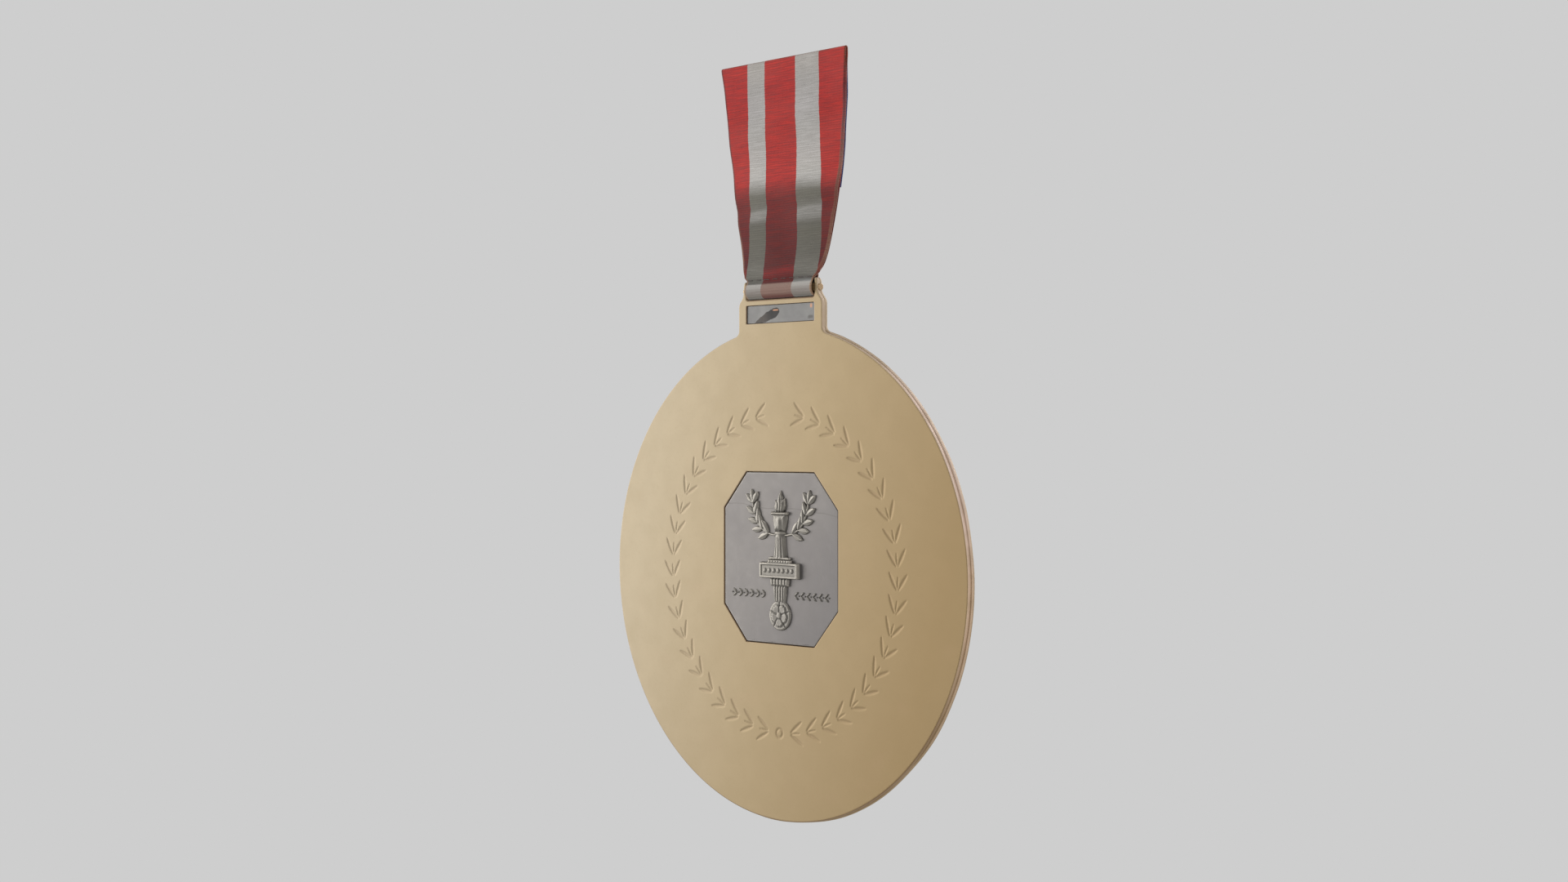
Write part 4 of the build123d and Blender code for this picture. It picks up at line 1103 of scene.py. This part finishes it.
def ribbon_path():
    """Centre line of the cloth in y and z, from the back's low end over the top, down the front and round the rod."""
    pts = []
    for z in np.arange(-31.3, -0.36, 0.27):
        pts.append((float(smooth_interp(z, BACK_Y)), z))
    for a in np.linspace(0, 180, 9)[1:-1]:
        pts.append((0.21 * math.cos(math.radians(a)), -0.34 + 0.21 * math.sin(math.radians(a))))
    for z in np.arange(-0.36, -30.6, -0.24):
        pts.append((float(smooth_interp(z, FRONT_Y)), z))
    # seam, then the wrap, bulging out in front of and behind the rod
    pts += [(-0.60, -30.85), (-0.545, -31.1), (-0.52, -31.3), (-0.56, -31.5), (-0.68, -31.75), (-0.81, -32.0), (-0.90, -32.25),
            (-0.96, -32.5)]
    for a in np.linspace(180, 360, 25):
        pts.append((0.98 * math.cos(math.radians(a)), ROD_Z + 1.08 * math.sin(math.radians(a))))
    pts += [(0.96, -32.5), (0.91, -32.25), (0.82, -32.0), (0.68, -31.7), (0.50, -31.3), (0.36, -30.9), (0.30, -30.5), (0.28, -30.1)]
    for z in np.arange(-29.8, -28.3, 0.25):
        pts.append((0.30 + 0.08 * (z + 29.8) / 1.5, z))
    return np.array(pts)


path = ribbon_path()
seg = np.linalg.norm(np.diff(path, axis=0), axis=1)
dist = np.concatenate([[0], np.cumsum(seg)])
keys = [0.0]
while keys[-1] < dist[-1] - 0.02:
    z = np.interp(keys[-1], dist, path[:, 1])
    keys.append(keys[-1] + (0.13 if z < -30.4 or z > -0.8 else 0.25))
keys[-1] = dist[-1]
keys = np.array(keys)
py = np.interp(keys, dist, path[:, 0])
pz = np.interp(keys, dist, path[:, 1])
top_at = keys[int(np.argmax(pz))]
rod_at = keys[int(np.argmin(pz))]
S = np.concatenate([np.linspace(-12.5, -5.8, 74), np.linspace(-5.6, 5.6, 46), np.linspace(5.8, 12.5, 74)])
COLS = len(S)
rod_z_top = ROD_Z + 0.9
rip = waves(21, 8, 0.05, 0.16)


def widths(z, side):
    w = float(smooth_interp(z, RIGHT if side > 0 else LEFT))
    return float(interp(z, RIGHT if side > 0 else LEFT)) if z < -30.5 else w


Pg = np.zeros((len(keys), COLS, 3))
edge_attr = np.zeros((len(keys), COLS))
for i, k in enumerate(keys):
    z = pz[i]
    A = float(smooth_interp(z, ARCH))
    part = 0 if k < top_at else (1 if k < rod_at else 2)       # back ply, front ply, tail behind the rod
    limit = float(np.interp(z, [-31.4, -30.2, -27.0], [0.12, 0.8, 7.0]))
    spare = float(np.interp(z, [-6.0, -2.0], [0.16, 0.0])) * float(np.interp(z, [-31.0, -29.5], [0.0, 1.0]))
    wl, wr = widths(z, -1), widths(z, 1)
    shift = float(smooth_interp(z, SHIFT))
    for j, s in enumerate(S):
        w = wr if s > 0 else wl
        if part == 1:
            w0 = w - FOLD_R
            e = abs(s) - w0
            full = e
            if e <= 0:
                xx, dy = abs(s), A * (abs(s) / w0) ** 2
            else:
                # near the wrap the turned-in edge runs out, and its cloth is eased into the width
                e *= min(1.0, limit / (12.5 - w0))
                if e < math.pi * FOLD_R:
                    xx, dy = w0 + FOLD_R * math.sin(e / FOLD_R), A + FOLD_R * (1 - math.cos(e / FOLD_R))
                else:
                    xx, dy = w0 - (e - math.pi * FOLD_R), A + 2 * FOLD_R
            reach = 0.16 if s > 0 else 0.26
            edge_attr[i, j] = float(np.clip((full + reach) / 0.16, 0, 1))
            dy += 0.10 * float(rip(s, k)) * np.clip((-z - 2) / 6, 0, 1) * np.clip((z + 31.0) / 3, 0, 1)
        else:
            wb = min(12.5, w - 0.22 * float(np.interp(z, [-5.0, -1.0], [1.0, 0.0])))
            if part == 2:
                wb = min(wb, 6.62)
            we = wb - 0.30
            xx = abs(s) if abs(s) < we else we + 0.30 * (abs(s) - we) / (12.5 - we + 1e-6) if wb < 12.4 else abs(s) * wb / 12.5
            dy = 0.0 if part == 2 else (A + spare) * (s / 12.5) ** 2 + spare * float(np.interp(abs(s), [3, 9], [0.0, 0.6]))
            edge_attr[i, j] = 1.0 if abs(s) > 12.2 else 0.0
        lift = (0.20 + 0.012 * s) * float(np.interp(z, [-8.0, -0.3], [0.0, 1.0]))
        Pg[i, j] = (math.copysign(xx, s) + shift, py[i] + dy, pz[i] + lift)
edge_attr = np.maximum(edge_attr, (np.clip(1.6 - np.abs(keys - top_at) / 0.20, 0, 1) * 0.75)[:, None])
thick = HALF + 0.07 * np.clip((rod_z_top - pz) / 0.5, 0, 1) * (keys > top_at)
verts, faces = shell(Pg, thick[:, None, None])
sa = np.tile(np.tile(S, (len(keys), 1)).reshape(-1), 2)
ta = np.tile(np.repeat(keys, COLS), 2)
ea = np.tile(edge_attr.reshape(-1), 2)
ribbon = make("ribbon_woven", verts, faces, CLOTH, "ribbon", attrs={"s_mm": sa, "t_mm": ta, "fold": ea})
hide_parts("ribbon")

# lining behind the upper part
zs = np.linspace(-0.45, -19.0, 90)
us = np.linspace(-1, 1, 80)
rip3 = waves(31, 6, 0.04, 0.12)
Lg = np.zeros((len(zs), len(us), 3))
for i, z in enumerate(zs):
    l = widths(z, -1) - 0.35
    r = widths(z, 1) - 0.22
    for j, u in enumerate(us):
        x = u * (r if u > 0 else l) + float(smooth_interp(z, SHIFT))
        A = float(smooth_interp(z, ARCH))
        spare = float(np.interp(z, [-6.0, -2.0], [0.16, 0.0]))
        q = abs(u) * 12.5
        bow = (A + spare) * u * u + spare * float(np.interp(q, [3, 9], [0.0, 0.6]))
        Lg[i, j] = (x, 0.425 + bow + 0.01 * rip3(x, z), z)
verts, faces = shell(Lg, 0.08)
lining = make("ribbon_lining", verts, faces, LINING, "ribbon")
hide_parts("ribbon_backing")


# ------------------------------------------------------------------ threads
def stitch_set(name, runs, r, mat, node, twist=9.0):
    parts = []
    for pts in runs:
        p = round_path(pts, 0.14, 0.07)
        parts.append(tube(p, r, 7, True, twist, 2, r * 0.62))
    v, f = join(parts)
    ob = make(name, v, f, mat, "ribbon")
    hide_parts(node)
    return ob


runs = []
for i in range(8):
    x = -5.95 + i * 1.7
    for side in (-1, 1):
        y0 = -0.50 if side < 0 else 0.46
        y1 = -0.655 if side < 0 else 0.655
        runs.append([(x - 0.55, y0, SEAM_Z), (x - 0.50, y1, SEAM_Z + 0.02), (x + 0.50, y1, SEAM_Z - 0.02), (x + 0.55, y0, SEAM_Z)])
stitch_set("seam_thread", runs, 0.05, THREAD_G, "seam_stitches")
runs = []
for i in range(9):
    x = -8.2 + i * 2.05
    q = abs(x) / 10.3 * 12.5
    bow = 0.50 * (q / 12.5) ** 2 + 0.16 * float(np.interp(q, [3, 9], [0.0, 0.6]))
    y0, y1 = 0.44 + bow, 0.56 + bow
    runs.append([(x - 0.72, y0, -18.1), (x - 0.66, y1, -18.08), (x + 0.66, y1, -18.12), (x + 0.72, y0, -18.1)])
stitch_set("backing_thread", runs, 0.08, THREAD_N, "backing_stitches")
runs = []
BZ, TOPY = -4.2, 1.05
for x in (-6.0, -1.2, 3.6):
    for side in (-1, 1):
        for dx in (-0.2, 0.2):
            zi, zo = BZ + side * 0.40, BZ + side * 2.46
            runs.append([(x + dx, 0.50, zi), (x + dx, TOPY + 0.12, zi), (x + dx * 1.1, TOPY + 0.13, (zi + zo) / 2),
                         (x + dx, TOPY + 0.12, zo), (x + dx, 0.50, zo)])
stitch_set("brooch_thread", runs, 0.115, THREAD_N, "brooch_stitches")


# ------------------------------------------------------------------ stage
def stage():
    M = bpy.data.materials.new("studio_floor_mat")
    M.use_nodes = True
    t = M.node_tree
    t.nodes.clear()
    o = t.nodes.new("ShaderNodeOutputMaterial")
    e = t.nodes.new("ShaderNodeEmission")
    e.inputs[0].default_value = lin(206, 206, 206)
    e.inputs[1].default_value = 1.0
    t.links.new(e.outputs[0], o.inputs[0])
    me = bpy.data.meshes.new("studio_floor")
    me.from_pydata([(-6, -6, -0.32), (6, -6, -0.32), (6, 6, -0.32), (-6, 6, -0.32)], [], [(0, 1, 2, 3)])
    me.materials.append(M)
    ob = bpy.data.objects.new("studio_floor", me)
    bpy.context.scene.collection.objects.link(ob)


stage()

w = bpy.data.worlds.new("studio")
bpy.context.scene.world = w
w.use_nodes = True
nt = w.node_tree
nt.nodes.clear()
wo = nt.nodes.new("ShaderNodeOutputWorld")
b1 = nt.nodes.new("ShaderNodeBackground")
b2 = nt.nodes.new("ShaderNodeBackground")
mx = nt.nodes.new("ShaderNodeMixShader")
lp = nt.nodes.new("ShaderNodeLightPath")
b1.inputs[0].default_value = lin(206, 206, 206)      # what the ambient light is
b1.inputs[1].default_value = 0.62
b2.inputs[0].default_value = lin(206, 206, 206)
b2.inputs[1].default_value = 1.0
nt.links.new(lp.outputs["Is Camera Ray"], mx.inputs[0])
nt.links.new(b1.outputs[0], mx.inputs[1])
nt.links.new(b2.outputs[0], mx.inputs[2])
nt.links.new(mx.outputs[0], wo.inputs[0])


def area(name, pos, target, size, power, color=(1, 1, 1)):
    L = bpy.data.lights.new(name, "AREA")
    L.shape = "RECTANGLE"
    L.size, L.size_y = size
    L.energy = power
    L.color = color
    ob = bpy.data.objects.new(name, L)
    bpy.context.scene.collection.objects.link(ob)
    ob.location = pos
    ob.rotation_euler = (Vector(target) - Vector(pos)).to_track_quat("-Z", "Y").to_euler()
    return ob


C = (0.0, 0.0, -0.055)
area("key_left", (-0.66, -0.36, 0.02), C, (0.42, 0.60), 4.4, (1.0, 0.99, 0.97))
area("fill_right", (0.75, -0.15, 0.0), C, (0.40, 0.60), 1.6, (1.0, 0.98, 0.96))
area("top_soft", (-0.05, -0.22, 0.75), (0, 0, -0.03), (0.6, 0.4), 1.6)
area("back_soft", (0.10, 0.70, 0.25), C, (0.6, 0.6), 3.5)

# ------------------------------------------------------------------ camera
cam = bpy.data.cameras.new("camera")
cam.lens = 50.0
cam.sensor_width = 36.0
cam.sensor_fit = "HORIZONTAL"
cam.clip_start = 0.005
cam.clip_end = 50.0
co = bpy.data.objects.new("camera", cam)
bpy.context.scene.collection.objects.link(co)
yaw = math.radians(45.35)
right = Vector((math.cos(yaw), math.sin(yaw), 0))
backv = Vector((math.sin(yaw), -math.cos(yaw), 0))
P0 = Vector((0, -0.70, DISC_Z + 18.8)) * MM
co.location = P0 + right * 0.703 * MM + backv * 308.4 * MM
co.rotation_euler = (math.radians(90), 0, yaw)
bpy.context.scene.camera = co

bpy.context.scene.view_settings.view_transform = "Standard"
bpy.context.scene.view_settings.look = "None"
bpy.context.scene.view_settings.exposure = 0.0
bpy.context.scene.view_settings.gamma = 1.0
